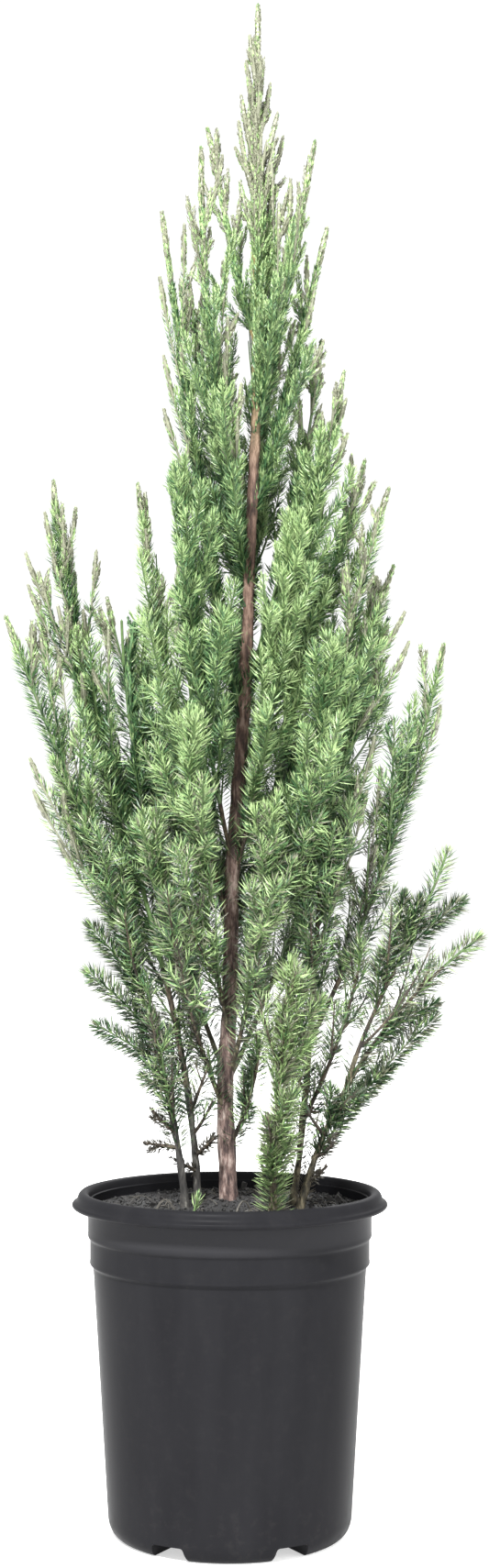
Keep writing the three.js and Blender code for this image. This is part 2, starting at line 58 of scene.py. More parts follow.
# The pot, and the heights in metres between which its upper wall is painted lighter, a painted highlight
POT_HEIGHT = 180.5
BASE_RADIUS = 58.5
BODY_FOOT_RADIUS = 64.7
BODY_TOP_RADIUS = 75.2
CORNER_HEIGHT = 10
WALL = 1.7
LOWER_STEP_HEIGHT = 142
LOWER_STEP = 1.7
UPPER_STEP_HEIGHT = 156.5
UPPER_STEP = 1.1
RIM_START = 171.6
FLOOR_TOP = 9.2
POT_STEPS = 128
CHANNELS = 6
CHANNEL_HEIGHT = 7.5
CHANNEL_WIDTH = 22
CHANNEL_ROOF_WIDTH = 18
CHANNEL_START_RADIUS = 30
CHANNEL_END_RADIUS = 84
CHANNEL_EDGE = 1.4
CUT_BELOW = 4
DRAIN_SIZE = 8
DRAIN_RADIUS = 48
DRAIN_EDGE = 0.9
POT_SHARP_ANGLE = 38
POT_LIT_FROM = (0.156, 0.16)
POT_LIT_TO = (0.17, 0.172)
LATHE_SEAM = 0.02

# The potting mix
SOIL_LEVEL = 172
SOIL_FLOOR = 9.6
SOIL_DIP = 0.6
SOIL_MOUND = 4.5
MOUND_MIDDLE = (8, -8)
MOUND_SPREAD = 1700
BED_GAP = 0.3
BED_BELT = (69.4, 138)
BED_RINGS = range(72, 0, -3)
BED_STEPS = 80
BED_BELOW_CRUMBS = 0.6
BED_RELIEF = (("clods", 9, 1.8), ("grit", 2.8, 1))
CRUMBS = 1700
CHIPS = 130
STREWN_RADIUS = 71.5
STALKS = 46
STALK_RADII = (66, 68)

# The stalks that show one by one: start and end on the mix, rise and thickness
ARCHED_STALKS = (
    ((-39, -44), (-27, -46), 9.5, 1),
    ((3, -46), (11, -40), 7, 0.7),
    ((8, -50), (16, -52), 5, 0.7),
)

# The trunk
TRUNK_TOP = 676
TRUNK_FOOT_RADIUS = 4.9
TRUNK_TOP_RADIUS = 2.3
TRUNK_FOOT_BOW = 2.4
TRUNK_BOW_TOP = 282
TRUNK_LEAN = 14
LEAN_FROM = 260
LEAN_TO = 620
FLARE = 0.7
FLARE_HEIGHT = 9
TRUNK_POINTS = 230

# Bark: knots all over, shreds drawn out along the limb, and the heights in metres at which it turns
# redder and then olive
KNOT_GRAIN = 12
KNOT_RELIEF = 1.1
SHRED_GRAIN = 2.6
SHRED_LENGTH = 9
LIMB_SEAM = 0.01
REDDER_BARK = (0.28, 0.46)
YOUNG_BARK = (0.56, 0.66)

# The stems, the boughs and the plumes that they carry
STEM_RADIUS = 2.3
STEM_FLARE = 1.35
BOUGH_RADIUS = 1.5
SHOOT_TIP_RADIUS = 0.7
BOUGHS_BELOW = 352
BOUGH_SHARE = 0.15
CLEARANCE = 0.3
GREY_STEMS = ("left_outer", "left_low")

# The rule by which twigs leave a plume's stem
TWIG_SPACING = 33
FEWEST_TWIGS = 4
FIRST_TWIG = 0.04
LAST_TWIG = 0.92
LONGEST_TWIG = 90
SHORTEST_TWIG = 20
TWIG_SHARE = 0.45
TWIG_TAPER = 0.72
TWIG_SIZES = (0.85, 1.15)
TWIG_ANGLES = (34, 24)
TWIG_THICKNESS = 0.95
TWIG_JITTER = 0.6
TWIG_RISE = 0.55
TWIG_KEEPS = (1, 0.8, 0.6)
TWIG_SWINGS = (0, 45, -45, 90, -90, 135)
GOLDEN_ANGLE = math.radians(137.508)
WINDOW_MARGIN = 1.5
WINDOW_TOP = 600
LOWEST_TWIG_SHARE = 0.4
TIP_TWIG_SHARE = 0.8
TIP_TWIG_REACH = 6

# The plumes: name, root, foot, tip, how far out the axis has moved at a third and two thirds of its height,
# and the share of the axis that is bare wood, where the rule doesn't give it
SHOWN_PLUMES = (
    ("left_outer", "soil", (-17, -6), (-94, 5, 558), (0.02, 0.9), 0.15),
    ("left_low", "soil", (-23, -17), (-118, -8, 484), (0.1, 0.6), 0.14),
    ("right_main", "soil", (33, -8), (84, -8, 552), (0.36, 0.15), 0.26),
    ("low_end", "soil", (36, -24), (133, -6, 316), (0.13, 0.34), 0.55),
    ("front_shoot", "soil", (22, -36), (31, -40, 304), (0.1, 0.5), 0.07),
    ("right_outer", "right_main", 0.23, (114, 4, 471), (0.5, 0.8), 0.1),
    ("low_right", "low_end", 0.45, (114, -18, 361), (0.2, 0.75), 0.12),
    ("right_low", "right_main", 0.12, (70, -14, 312), (0.5, 0.85), 0),
    ("left_inner", "trunk", 236, (-58, 12, 484), (0.6, 0.95), None),
    ("right_lowest", "trunk", 204, (16, -16, 264), (0.6, 0.95), 0),
    ("left_low_front", "trunk", 216, (-40, -34, 380), (0.55, 0.9), None),
    ("left_front", "trunk", 262, (-22, -50, 430), (0.55, 0.9), None),
    ("left_second", "trunk", 318, (-48, -20, 552), (0.5, 0.8), None),
    ("left_middle", "trunk", 350, (-24, -34, 560), (0.6, 0.95), None),
    ("left_upper", "trunk", 430, (-36, -2, 699), (0.45, 0.72), None),
    ("left_column", "trunk", 500, (-15, -16, 729), (0.7, 1), None),
    ("left_top", "trunk", 630, (-12, 8, 747), (0.5, 0.65), None),
    ("right_front", "trunk", 240, (22, -42, 384), (0.55, 0.9), None),
    ("right_front_middle", "trunk", 282, (54, -42, 468), (0.5, 0.85), None),
    ("right_front_upper", "trunk", 345, (33, -30, 534), (0.55, 0.9), None),
    ("right_second", "trunk", 446, (60, -14, 612), (0.5, 0.8), None),
    ("right_middle", "trunk", 366, (88, 14, 514), (0.5, 0.8), None),
    ("right_third", "trunk", 404, (72, 4, 569), (0.5, 0.8), None),
    ("right_upper", "trunk", 540, (52, 9, 694), (0.4, 0.7), None),
    ("right_column", "trunk", 580, (45, -8, 735), (0.4, 0.7), None),
    ("leader", "trunk_top", None, (15, 0, 810), (0.33, 0.66), None),
)

# Two tiers of plumes fill the back: name, count, first and last angle, reach, lowest foot, rise from
# foot to foot, and the two heights of the tips
BACK_TIERS = (
    ("back_low", 5, (34, 152), 88, 240, 22, (500, 528)),
    ("back_high", 4, (44, 148), 50, 440, 24, (640, 672)),
)
INNER_REACH = 0.86
BACK_SPREAD = (0.5, 0.83)

# Short sprays on the bare stems: the plume, the share of its axis, the spray's tip, and its green,
# or None where it is dry
FOOT_SPRAYS = (
    ("left_low", 0.105, (-45, -20, 208), None),
    ("left_outer", 0.07, (-7, -18, 211), None),
    ("left_low", 0.13, (-41, -22, 226), None),
    ("left_outer", 0.05, (-24, -14, 196), None),
    ("left_outer", 0.1, (-9, -14, 229), 0.6),
    ("left_outer", 0.13, (-12, -18, 246), 0.9),
    ("left_low", 0.15, (-30, -30, 250), 1.2),
    ("low_end", 0.2, (54, -30, 209), None),
    ("low_end", 0.12, (50, -28, 197), None),
    ("low_end", 0.28, (40, -34, 226), 1),
    ("low_end", 0.34, (66, -30, 236), 1),
    ("right_main", 0.08, (26, -14, 208), None),
    ("right_main", 0.12, (44, -14, 226), 0.6),
    ("right_main", 0.16, (33, -16, 246), 0.8),
)
FOOT_SPRAY_RADIUS = 1.2

# Stems whose foot is rough with dry needles, and up to which share of their axis
ROUGH_FEET = {"right_main": 0.2, "low_end": 0.3}

# A sprig that has struck in the mix
SPRIG = ((-19, -40, 172), (-17.5, -41, 178), (-16, -38, 184))

# Further tips that the photograph shows beside a plume's own: the share of its axis, and the tip's place
SIDE_TIPS = {
    "left_outer": (
        (0.86, -89, 0, 545), (0.83, -98, -4, 540), (0.8, -85, 6, 528), (0.74, -71, 2, 520),
        (0.74, -108, -4, 518), (0.7, -106, -10, 500), (0.6, -64, -8, 478), (0.62, -91, -4, 490),
        (0.68, -101, -6, 508),
    ),
    "left_low": (
        (0.66, -100, -6, 474), (0.58, -91, -4, 466), (0.56, -105, -10, 409), (0.52, -103, -14, 392),
        (0.72, -99, -4, 486), (0.48, -90, -16, 366), (0.36, -74, -18, 322), (0.29, -75, -20, 298),
        (0.24, -71, -20, 270), (0.2, -46, -22, 243),
    ),
    "right_main": (
        (0.7, 92, -10, 486), (0.62, 94, -12, 470), (0.42, 76, -14, 420), (0.36, 72, -12, 392),
    ),
    "right_outer": (
        (0.6, 112, 0, 438), (0.25, 80, -4, 404), (0.42, 92, 2, 428),
    ),
    "leader": (
        (0.66, 10.5, -3, 793), (0.6, 18, 2, 782), (0.48, 10, 3, 771), (0.44, 21.5, -2, 768),
        (0.34, 6, -4, 761), (0.2, 4.5, -4, 747), (0.52, 8.5, -4, 780), (0.3, 25.5, 3, 754),
    ),
    "left_upper": (
        (0.62, -37, -6, 664), (0.5, -35, -8, 622), (0.42, -35, -8, 594), (0.7, -24, -8, 691),
    ),
    "left_column": (
        (0.45, -2, -14, 668), (0.3, -1, -16, 640), (0.22, 6, -12, 606), (0.15, 4, -14, 588),
    ),
    "left_top": (
        (0.42, 6, 4, 711), (0.6, -1, 6, 725),
    ),
    "right_column": (
        (0.5, 32, -10, 714), (0.3, 26, -8, 702), (0.4, 36, -6, 702), (0.35, 22, -4, 724),
    ),
    "right_upper": (
        (0.8, 46, 6, 670), (0.7, 41, 4, 678), (0.5, 45, 4, 659), (0.35, 50, 2, 632),
    ),
    "right_second": (
        (0.75, 61, -14, 598), (0.62, 62, -12, 580),
    ),
    "right_lowest": (
        (0.3, 9, -14, 233), (0.5, 11, -16, 252),
    ),
    "front_shoot": (
        (0.1, 18.5, -42, 208), (0.14, 33, -40, 214), (0.18, 20, -42, 222), (0.26, 34, -40, 236),
        (0.5, 43, -34, 266), (0.55, 48, -36, 285), (0.66, 40, -38, 298),
    ),
    "low_end": (
        (0.3, 53, -27, 238), (0.2, 108, -18, 274), (0.3, 84, -22, 247), (0.62, 110, -12, 281),
    ),
    "low_right": (
        (0.33, 79, -22, 308), (0.48, 91, -20, 338), (0.6, 99, -22, 336), (0.55, 123, -12, 335),
    ),
}

# How far along its reach such a tip has moved at half way: sideways, in depth and up
TIP_BEND = (1.25, 1, 0.85)
LOW_TIP_BEND = (0.9, 1, 1.15)
LOW_TIPS_BELOW = 350
LOW_TIPS_DARKER = 1.3
LOW_TIP_COATS = 6

# The crown's outer edge as the photograph shows it: height, leftmost and rightmost
CROWN_EDGE = (
    (195, -46, 58), (223, -46, 70), (243, -50, 84), (262, -56, 107), (300, -60, 120), (318, -68, 112),
    (335, -74, 98), (345, -79, 92), (362, -88, 92), (376, -95, 95), (390, -102, 98), (408, -104, 104),
    (418, -96, 107), (440, -95, 112), (455, -104, 113), (468, -116, 114), (480, -119, 93),
    (496, -108, 91), (515, -107, 83), (555, -95, 85), (564, -35, 74), (584, -34, 65), (600, -32, 63),
    (613, -31, 62), (632, -29, 51), (660, -28, 41), (676, -27, 43), (692, -32, 51), (702, -37, 40),
    (712, -18, 42), (735, -16, 45), (750, -12, 26), (765, 5, 21), (790, 9, 19), (815, 14, 17),
)
EDGE_MARGINS = (6, 1)
EDGE_MARGIN_HEIGHTS = (510, 660)
NEEDLES_PAST_EDGE = 2
EDGE_FROM = 360

# The notch between the outer left plumes and the rest: height, left and right side
NOTCH = ((436, -60, -57), (466, -63, -57), (560, -74, -45))

# Gaps through which sky shows: middle, height, half width and half height, in the plane of the pot's axis
SKY_GAPS = (
    (20, 521, 2.8, 9), (23, 501, 4, 7), (13.5, 477, 3, 10), (26.5, 436, 2.4, 11), (22, 405, 1.5, 12),
    (-2.5, 382, 4, 18), (-56, 430, 2.5, 24), (-9, 409, 3, 7), (-23, 448, 2.5, 7), (-34, 282, 6.5, 7),
    (-40, 302, 4, 5), (-44, 337, 3, 11), (17, 238, 4, 14), (-14, 240, 5, 9), (-10, 265, 4, 7),
    (-10, 293, 3, 5), (-10.5, 327, 3, 7), (68, 356.5, 5.5, 5), (9.5, 627, 2.5, 19), (66, 258, 5, 13),
    (78, 268, 3.5, 8), (87, 286, 3, 6), (57, 244, 4, 6), (45, 227, 4, 8), (102, 312, 3.5, 7),
    (42, 594, 4, 12), (70, 415, 4, 9), (70.5, 373.5, 5, 4.5), (-58, 478, 3, 18), (-36, 534, 4.5, 22),
    (-32, 512, 3, 9), (-92, 493, 2.5, 10), (-88, 470, 2.5, 6), (-87, 446, 3, 9), (-85, 408, 3, 8),
    (-77, 508, 3.5, 14), (18.5, 738, 1.6, 14), (7.5, 364, 2, 6), (26, 288, 3, 7), (28.5, 309, 2.5, 6),
    (47, 322, 4, 5), (60, 331, 2.5, 4), (57, 289, 3.5, 6), (52, 600, 3, 11),
)

# The finer growth of the plumes
SIDE_SPACING = 7.6
SIDE_SHARE = 0.66
SIDE_TAPER = 0.55
SIDE_SIZES = (0.5, 1.2)
LAST_SIDES = (0.97, 0.88)
SIDE_ANGLES = (27, 20)
SIDE_THICKNESS = 0.7
SIDE_OVERLAP = 1.5
SHORTEST_SIDE = 14
TWIGLET_SPACING = 8.4
TWIGLET_SHARE = 0.4
TWIGLET_TAPER = 0.6
TWIGLET_SIZES = (0.7, 1.2)
TWIGLET_RISE = 0.3
TWIGLET_OVERLAP = 3
TWIGLET_THICKNESS = 0.45
LONGEST_TWIGLET = 28
FIRST_TWIGLET = 0.14
GREEN_SHIFT = 0.75
TWIGLET_GREEN_SHIFT = 0.35

# On spread shoots and on cords: the last twiglet, the shortest one and their angle
LAST_TWIGLETS = (0.93, 0.7)
SHORTEST_TWIGLETS = (8, 10)
TWIGLET_ANGLES = (33, 21)

# Below these heights the wood of stems and twigs is brown
BROWN_BELOW = 300
BROWN_AXES = {"right_main": 362}

# The needles at four heights: long and spread at the foot, short and close at the top
NEEDLE_HEIGHTS = (240, 380, 510, 640)
NEEDLE_LENGTHS = (10, 9, 7.6, 3.9)
NEEDLE_SPREADS = (62, 54, 47, 32)
NEEDLE_STEPS = (0.74, 0.54, 0.48, 0.44)
NEEDLE_WIDTHS = (0.92, 1, 1, 0.95)
CORDS_CLOSE = (640, 745)
CORD_TIPS = (330, 520)
CORD_PLACE = 0.7
CORD_NEEDLE = 4
CORD_SPREAD = 6
CORD_STEP = 0.6
CORD_WIDTH = 1.3
NEEDLE_BROADEST = 0.42
OPEN_END = 40
DRY_SHARES = (0.5, 0.85, 1.1)

# Some needles that hide the trunk are left out, and those that close a gap
TRUNK_BARED_BELOW = 540
TRUNK_BARED_SHARE = 0.12
NEEDLE_GAP_SHARE = 0.95

# Where needles begin on the plumes whose bare wood carries some, and where their twigs reach full length
FIRST_NEEDLES = {
    "left_outer": 0.12, "left_low": 0.1, "right_main": 0.15, "low_end": 0.2, "front_shoot": 0,
}
FULL_TWIGS = {"front_shoot": 0.5, "low_end": 0.8}
BOUGH_NEEDLES = 0.05

# Slender plumes have shorter side twigs, and loose ones have fewer
SLENDER = {
    "leader": 0.5, "left_top": 0.55, "left_column": 0.6, "left_upper": 0.65, "right_column": 0.6,
    "right_upper": 0.75, "left_second": 0.55, "low_end": 0.45, "low_right": 0.45, "right_outer": 0.75,
}
LOOSE = {
    "low_end": 2.8, "low_right": 2.6, "left_second": 1.6, "right_low": 1.3, "right_outer": 1.7,
    "right_main": 1.2, "left_low": 1.35, "left_outer": 1.25, "left_column": 1.4, "left_top": 1.4,
    "left_upper": 1.5, "right_upper": 1.2, "right_column": 1.2, "leader": 1.2,
}

# A plume's own stem is clothed piece by piece, and more than once
AXIS_PIECES = 7
USUAL_COATS = 2
AXIS_COATS = {
    "front_shoot": 7, "leader": 3, "left_upper": 4, "left_column": 3, "left_top": 3, "right_upper": 4,
    "low_end": 3, "left_outer": 4, "left_low": 3, "left_low_front": 3,
}

# These plumes, at the front and low down, end in spread needles, and the tall ones of the others in cords
SPREAD_TIPS = (
    "front_shoot", "right_low", "right_lowest", "left_low_front", "left_front", "left_middle",
    "right_front", "right_front_middle", "right_front_upper", "low_end", "low_right",
)

# Young shoots on the upper trunk and the foot of the leader: how many, up to which share of the wood,
# between which turns, and how long below and above
TRUNK_SHOOTS_FROM = 592
TRUNK_SHOOTS = (60, 1, (-100, 115), (44, 42))
LEADER_SHOOTS = (34, 0.62, (-130, 150), (40, 14))

# The needles, in greens from a dark one that paints the shade of the crown's inside to its pale tips, and dry
# ones
NEEDLE_GREENS = (
    ("shade", (25, 49, 25)),
    ("deep", (45, 78, 45)),
    ("middle", (79, 110, 68)),
    ("bright", (110, 136, 86)),
    ("fresh", (133, 155, 104)),
    ("pale", (106, 108, 89)),
    ("dull", (68, 77, 61)),
    ("dry", (56, 53, 45)),
)
PALEST = 5
DULL = 6
DRY = 7
# Painted shade: plumes with a green of 1 or less take this darker tip tone in place of the palest
SHADED_TIP = 1.5
USUAL_GREEN = 2.1
GREY_SHARE = 0.42
LOW_ZONE = (290, 440)
LOW_PALER = 0.35
FRESH_ZONE = (290, 390)
FRESHER = 1.1
# Painted shade: how many tones darker the needles deep inside a shoot are
INSIDE_PAINTED_SHADE = 0.7
TONE_SPREADS = (1.35, 2)
CORD_TONE_SPREAD = 0.8
PLUME_GREYS = {"low_end": 0.6, "low_right": 0.6, "right_outer": 0.45, "front_shoot": 0.36}
PLUME_GREENS = {
    "left_outer": 1.7, "left_low": 1.8, "left_inner": 0.4, "left_low_front": 2.2, "left_second": 3,
    "left_middle": 1.6, "left_front": 2.7, "right_main": 1.7, "right_outer": 1.9, "right_lowest": 1.6,
    "right_front": 2.6, "right_front_middle": 2, "right_front_upper": 3, "right_low": 1.7,
    "right_middle": 1.8, "front_shoot": 4.6, "low_end": 2.3, "low_right": 2, "leader": 2.6,
}


def lerp(start, end, share):
    return start + (end - start) * share


def smooth_rise(value, low, high):
    share = np.clip((value - low) / (high - low), 0, 1)
    return share * share * (3 - 2 * share)


def linear(red, green, blue):
    """A colour as the eye reads it on a screen, 0 to 255, as the light that a shader works with."""
    parts = [part / 255 for part in (red, green, blue)]
    return tuple(part / 12.92 if part < 0.04045 else ((part + 0.055) / 1.055) ** 2.4 for part in parts) + (1,)


# Shader maths


class Value:
    """A shader socket that can stand in a Python expression: each operator adds its Math node."""

    def __init__(self, tree, socket):
        self.tree = tree
        self.socket = socket

    def node(self, kind, settings, inputs, output=0):
        """Adds a node of a kind, with its settings first and then the values or links of its sockets."""
        made = self.tree.nodes.new(kind)
        for key, value in settings.items():
            if key == "stops":
                self.set_stops(made.color_ramp, value)
            else:
                setattr(made, key, value)
        for key, value in inputs.items():
            if isinstance(value, Value):
                self.tree.links.new(value.socket, made.inputs[key])
            else:
                made.inputs[key].default_value = value
        return Value(self.tree, made.outputs[output])

    @staticmethod
    def set_stops(ramp, stops):
        while len(ramp.elements) < len(stops):
            ramp.elements.new(1)
        for element, (place, colour) in zip(ramp.elements, stops):
            element.position = place
            element.color = colour

    def math(self, operation, first, second):
        return self.node("ShaderNodeMath", {"operation": operation}, {0: first, 1: second})

    def __add__(self, other):
        return self.math("ADD", self, other)

    __radd__ = __add__

    def __rsub__(self, other):
        return self.math("SUBTRACT", other, self)

    def __mul__(self, other):
        return self.math("MULTIPLY", self, other)

    __rmul__ = __mul__

    def noise(self, scale, detail, roughness=0.55):
        inputs = {"Vector": self, "Scale": scale, "Detail": detail, "Roughness": roughness}
        return self.node("ShaderNodeTexNoise", {}, inputs)

    def stretched(self, scale):
        return self.node("ShaderNodeMapping", {}, {"Vector": self, "Scale": scale})

    def band(self, low, high):
        """0 below low, 1 above high, and an even rise between them."""
        inputs = {"Value": self, "From Min": low, "From Max": high}
        return self.node("ShaderNodeMapRange", {"clamp": True}, inputs)

    def blend(self, first, second):
        """From the first colour to the second, by this value."""
        return self.node("ShaderNodeMix", {"data_type": "RGBA"}, {0: self, 6: first, 7: second}, 2)

    def tones(self, *stops):
        return self.node("ShaderNodeValToRGB", {"stops": stops}, {"Fac": self})

    def bump(self, strength, distance):
        return self.node("ShaderNodeBump", {}, {"Height": self, "Strength": strength, "Distance": distance})


class Finish:
    """A material on Object coordinates, whose sockets take plain values or shader values."""

    def __init__(self, name):
        self.material = bpy.data.materials.new(name)
        self.material.use_nodes = True
        tree = self.material.node_tree
        self.surface = tree.nodes["Principled BSDF"]
        self.place = Value(tree, tree.nodes.new("ShaderNodeTexCoord").outputs["Object"])

    def set(self, **sockets):
        for name, value in sockets.items():
            socket = self.surface.inputs[name.replace("_", " ")]
            if isinstance(value, Value):
                self.material.node_tree.links.new(value.socket, socket)
            else:
                socket.default_value = value
        return self.material

    def height(self):
        return self.place.node("ShaderNodeSeparateXYZ", {}, {"Vector": self.place}, 2)


def black_plastic():
    finish = Finish("black_plastic")
    flow = finish.place.stretched((1, 1, 0.2)).noise(60, 4)
    grain = finish.place.noise(1400, 2)
    dust = finish.place.noise(180, 5, 0.7).band(0.52, 0.75)
    low = 1 - finish.height().band(0.002, 0.03)
    scuffs = dust * (0.25 + 0.75 * low)
    plain = flow.band(0.3, 0.7).blend(linear(24, 24, 26), linear(28, 28, 30))
    # Painted highlight: the upper wall between the upper step and the rim gets a lighter base colour
    upper = finish.height().band(*POT_LIT_FROM) * (1 - finish.height().band(*POT_LIT_TO))
    painted_lit = upper.blend(plain, linear(38, 38, 40))
    colour = (scuffs * 0.14).blend(painted_lit, linear(74, 71, 68))
    roughness = 0.32 + 0.1 * flow + 0.2 * scuffs
    relief = (0.5 * grain + 0.5 * flow).bump(0.1, 0.0004)
    return finish.set(Base_Color=colour, Roughness=roughness, Normal=relief, Specular_IOR_Level=0.015)


def damp_soil(name, dark, pale):
    finish = Finish(name)
    lumps = finish.place.noise(420, 6, 0.65)
    damp = finish.place.noise(40, 3)
    halfway = [lerp(a, b, 0.45) for a, b in zip(dark, pale)]
    stops = ((0.3, linear(*dark)), (0.55, linear(*halfway)), (0.75, linear(*pale)))
    roughness = 0.95 - 0.35 * damp.band(0.5, 0.7)
    return finish.set(Base_Color=lumps.tones(*stops), Roughness=roughness, Normal=lumps.bump(0.6, 0.0012))


def peeling_bark(name, dark, middle, pale, grain):
    """Bark in long shreds: dark cracks, the main colour, and pale edges where it peels."""
    finish = Finish(name)
    shreds = finish.place.stretched((1, 1, 0.24)).noise(grain, 5, 0.7)
    patches = finish.place.stretched((1, 1, 0.4)).noise(90, 3)
    mixed = 0.7 * shreds + 0.3 * patches
    halfway = [lerp(a, b, 0.5) for a, b in zip(dark, middle)]
    colours = [linear(*colour) for colour in (dark, halfway, middle, pale)]
    foot = mixed.tones(*zip((0.4, 0.46, 0.52, 0.6), colours))
    upper = 0.7 * finish.height().band(*REDDER_BARK)
    wood = upper.blend(foot, mixed.band(0.42, 0.6).blend(linear(44, 28, 20), linear(104, 76, 55)))
    young = finish.height().band(*YOUNG_BARK)
    colour = (young * 0.8).blend(wood, linear(120, 110, 64))
    roughness = 0.9 - 0.2 * shreds
    return finish.set(Base_Color=colour, Roughness=roughness, Normal=shreds.bump(0.9, 0.0012))


def leaf_green(name, colour):
    """A waxy green that shifts a little from needle to needle."""
    finish = Finish(name)
    shift = finish.place.noise(210, 2)
    darker = linear(*[part * 0.88 for part in colour])
    paler = linear(*[min(255, part * 1.1) for part in colour])
    tone = shift.band(0.3, 0.7).blend(darker, paler)
    return finish.set(Base_Color=tone, Roughness=0.54 - 0.12 * shift, Specular_IOR_Level=0.45)


# Modelling by hand


def nothing_selected():
    bpy.ops.object.select_all(action="DESELECT")


def only(piece):
    nothing_selected()
    piece.select_set(True)
    bpy.context.view_layer.objects.active = piece


def edit():
    bpy.ops.object.mode_set(mode="EDIT")


def leave_edit():
    bpy.ops.object.mode_set(mode="OBJECT")


def pick_faces(piece, chosen):
    """In edit mode, selects only those faces that the test chooses."""
    bpy.ops.mesh.select_mode(type="FACE")
    bpy.ops.mesh.select_all(action="DESELECT")
    leave_edit()
    for face in piece.data.polygons:
        face.select = bool(chosen(face))
    edit()


def close_seams(gap):
    """Joins the points that meet at seams and poles, turns all faces outwards, and leaves edit mode."""
    bpy.ops.mesh.select_all(action="SELECT")
    bpy.ops.mesh.remove_doubles(threshold=gap * MM)
    bpy.ops.mesh.normals_make_consistent(inside=False)
    leave_edit()


def settle():
    """Puts the selected object's place, turn and size into its mesh."""
    bpy.ops.object.transform_apply(location=True, rotation=True, scale=True)


def turn_round(angle):
    bpy.ops.transform.rotate(value=angle, orient_axis="Z", center_override=(0, 0, 0))


def apply_modifier(piece, name, kind, **settings):
    only(piece)
    modifier = piece.modifiers.new(name, kind)
    for key, value in settings.items():
        setattr(modifier, key, value)
    bpy.ops.object.modifier_apply(modifier=modifier.name)


def roughen(piece, name, grain, strength, middle, **settings):
    """Pushes a surface in and out by clouds of a grain and a strength in millimetres."""
    texture = bpy.data.textures.new(name, "CLOUDS")
    texture.noise_scale = grain * MM
    settings.update(texture=texture, strength=strength * MM, mid_level=middle)
    apply_modifier(piece, name, "DISPLACE", **settings)


def smooth(piece):
    only(piece)
    bpy.ops.object.shade_smooth()


def lathe(name, profile, steps):
    """Draws a profile of radius and height point by point, and spins it round the upright axis."""
    nothing_selected()
    bpy.ops.mesh.primitive_plane_add(size=MM)
    piece = bpy.context.object
    piece.name = name
    edit()
    bpy.ops.mesh.select_mode(type="VERT")
    bpy.ops.mesh.merge(type="CENTER")
    radius, height = profile[0]
    bpy.ops.transform.translate(value=(radius * MM, 0, height * MM))
    for next_radius, next_height in profile[1:]:
        move = ((next_radius - radius) * MM, 0, (next_height - height) * MM)
        bpy.ops.mesh.extrude_vertices_move(TRANSFORM_OT_translate={"value": move})
        radius, height = next_radius, next_height
    bpy.ops.mesh.select_all(action="SELECT")
    bpy.ops.mesh.spin(steps=steps, angle=2 * math.pi, center=(0, 0, 0), axis=(0, 0, 1))
    close_seams(LATHE_SEAM)
    return piece


def round_copies(piece, count):
    """Turns a new piece half a step, copies it evenly round the upright axis and joins the copies."""
    leave_edit()
    settle()
    turn_round(math.pi / count)
    settle()
    copies = [piece]
    for i in range(1, count):
        only(piece)
        bpy.ops.object.duplicate()
        turn_round(2 * math.pi * i / count)
        copies.append(bpy.context.object)
    only(piece)
    for copy in copies:
        copy.select_set(True)
    bpy.ops.object.join()
    settle()
    return piece


def cut_away(piece, cutter):
    apply_modifier(piece, "cut", "BOOLEAN", operation="DIFFERENCE", solver="EXACT", object=cutter)
    bpy.data.objects.remove(cutter)


def dress(piece, material, nodes):
    """Gives a finished piece its material and its body, and hides the solids that it stands for."""
    piece.data.materials.clear()
    piece.data.materials.append(material)
    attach(piece, "root")
    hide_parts(*nodes)


# The pot


def step_points(height, below, above):
    """A soft step in the wall, from the radius below to the radius above."""
    rises = ((-2, 0), (-1.1, 0.06), (-0.5, 0.3), (0, 0.72), (0.5, 0.98), (1, 1.08), (1.7, 1.05), (2.6, 1))
    return [(lerp(below, above, share), height + rise) for rise, share in rises]


def pot_profile():
    corner = []
    for turn in range(0, 90, 11):
        angle = math.radians(turn)
        radius = lerp(BASE_RADIUS, BODY_FOOT_RADIUS, math.sin(angle))
        corner.append((radius, CORNER_HEIGHT * (1 - math.cos(angle))))
    middle = BODY_TOP_RADIUS - UPPER_STEP
    lower = middle - LOWER_STEP
    outside = [
        *corner,
        (BODY_FOOT_RADIUS, CORNER_HEIGHT),
        (lerp(BODY_FOOT_RADIUS, lower, 0.5), lerp(CORNER_HEIGHT, LOWER_STEP_HEIGHT, 0.5)),
        *step_points(LOWER_STEP_HEIGHT, lower, middle),
        *step_points(UPPER_STEP_HEIGHT, middle, BODY_TOP_RADIUS),
    ]
    rim = [
        (BODY_TOP_RADIUS, RIM_START - 1), (75.4, RIM_START - 0.3), (76.2, RIM_START), (80, RIM_START + 0.1),
        (82.4, RIM_START + 0.4), (83.2, 172.5), (83.6, 173.3), (83.5, 174.1), (83, 174.7), (82.2, 175.1),
        (81.5, 175.7), (81, 176.6), (80.7, 177.6), (80.3, 178.6), (79.7, 179.5), (78.8, 180.2),
        (77.6, POT_HEIGHT), (76.3, 180.3), (75.3, 179.6), (74.7, 178.5), (74.4, 176.9),
    ]
    inner = BODY_TOP_RADIUS - WALL
    inside = [
        (74.2, 176.2), (inner, 175.8), (inner, UPPER_STEP_HEIGHT + 1.5),
        (middle - WALL, UPPER_STEP_HEIGHT - 1.5), (middle - WALL, LOWER_STEP_HEIGHT + 1.5),
        (lower - WALL, LOWER_STEP_HEIGHT - 1.5), (BODY_FOOT_RADIUS - WALL, FLOOR_TOP + 3),
        (BODY_FOOT_RADIUS - WALL - 2, FLOOR_TOP), (0, FLOOR_TOP),
    ]
    return [(0, 0), *outside, *rim, *inside]


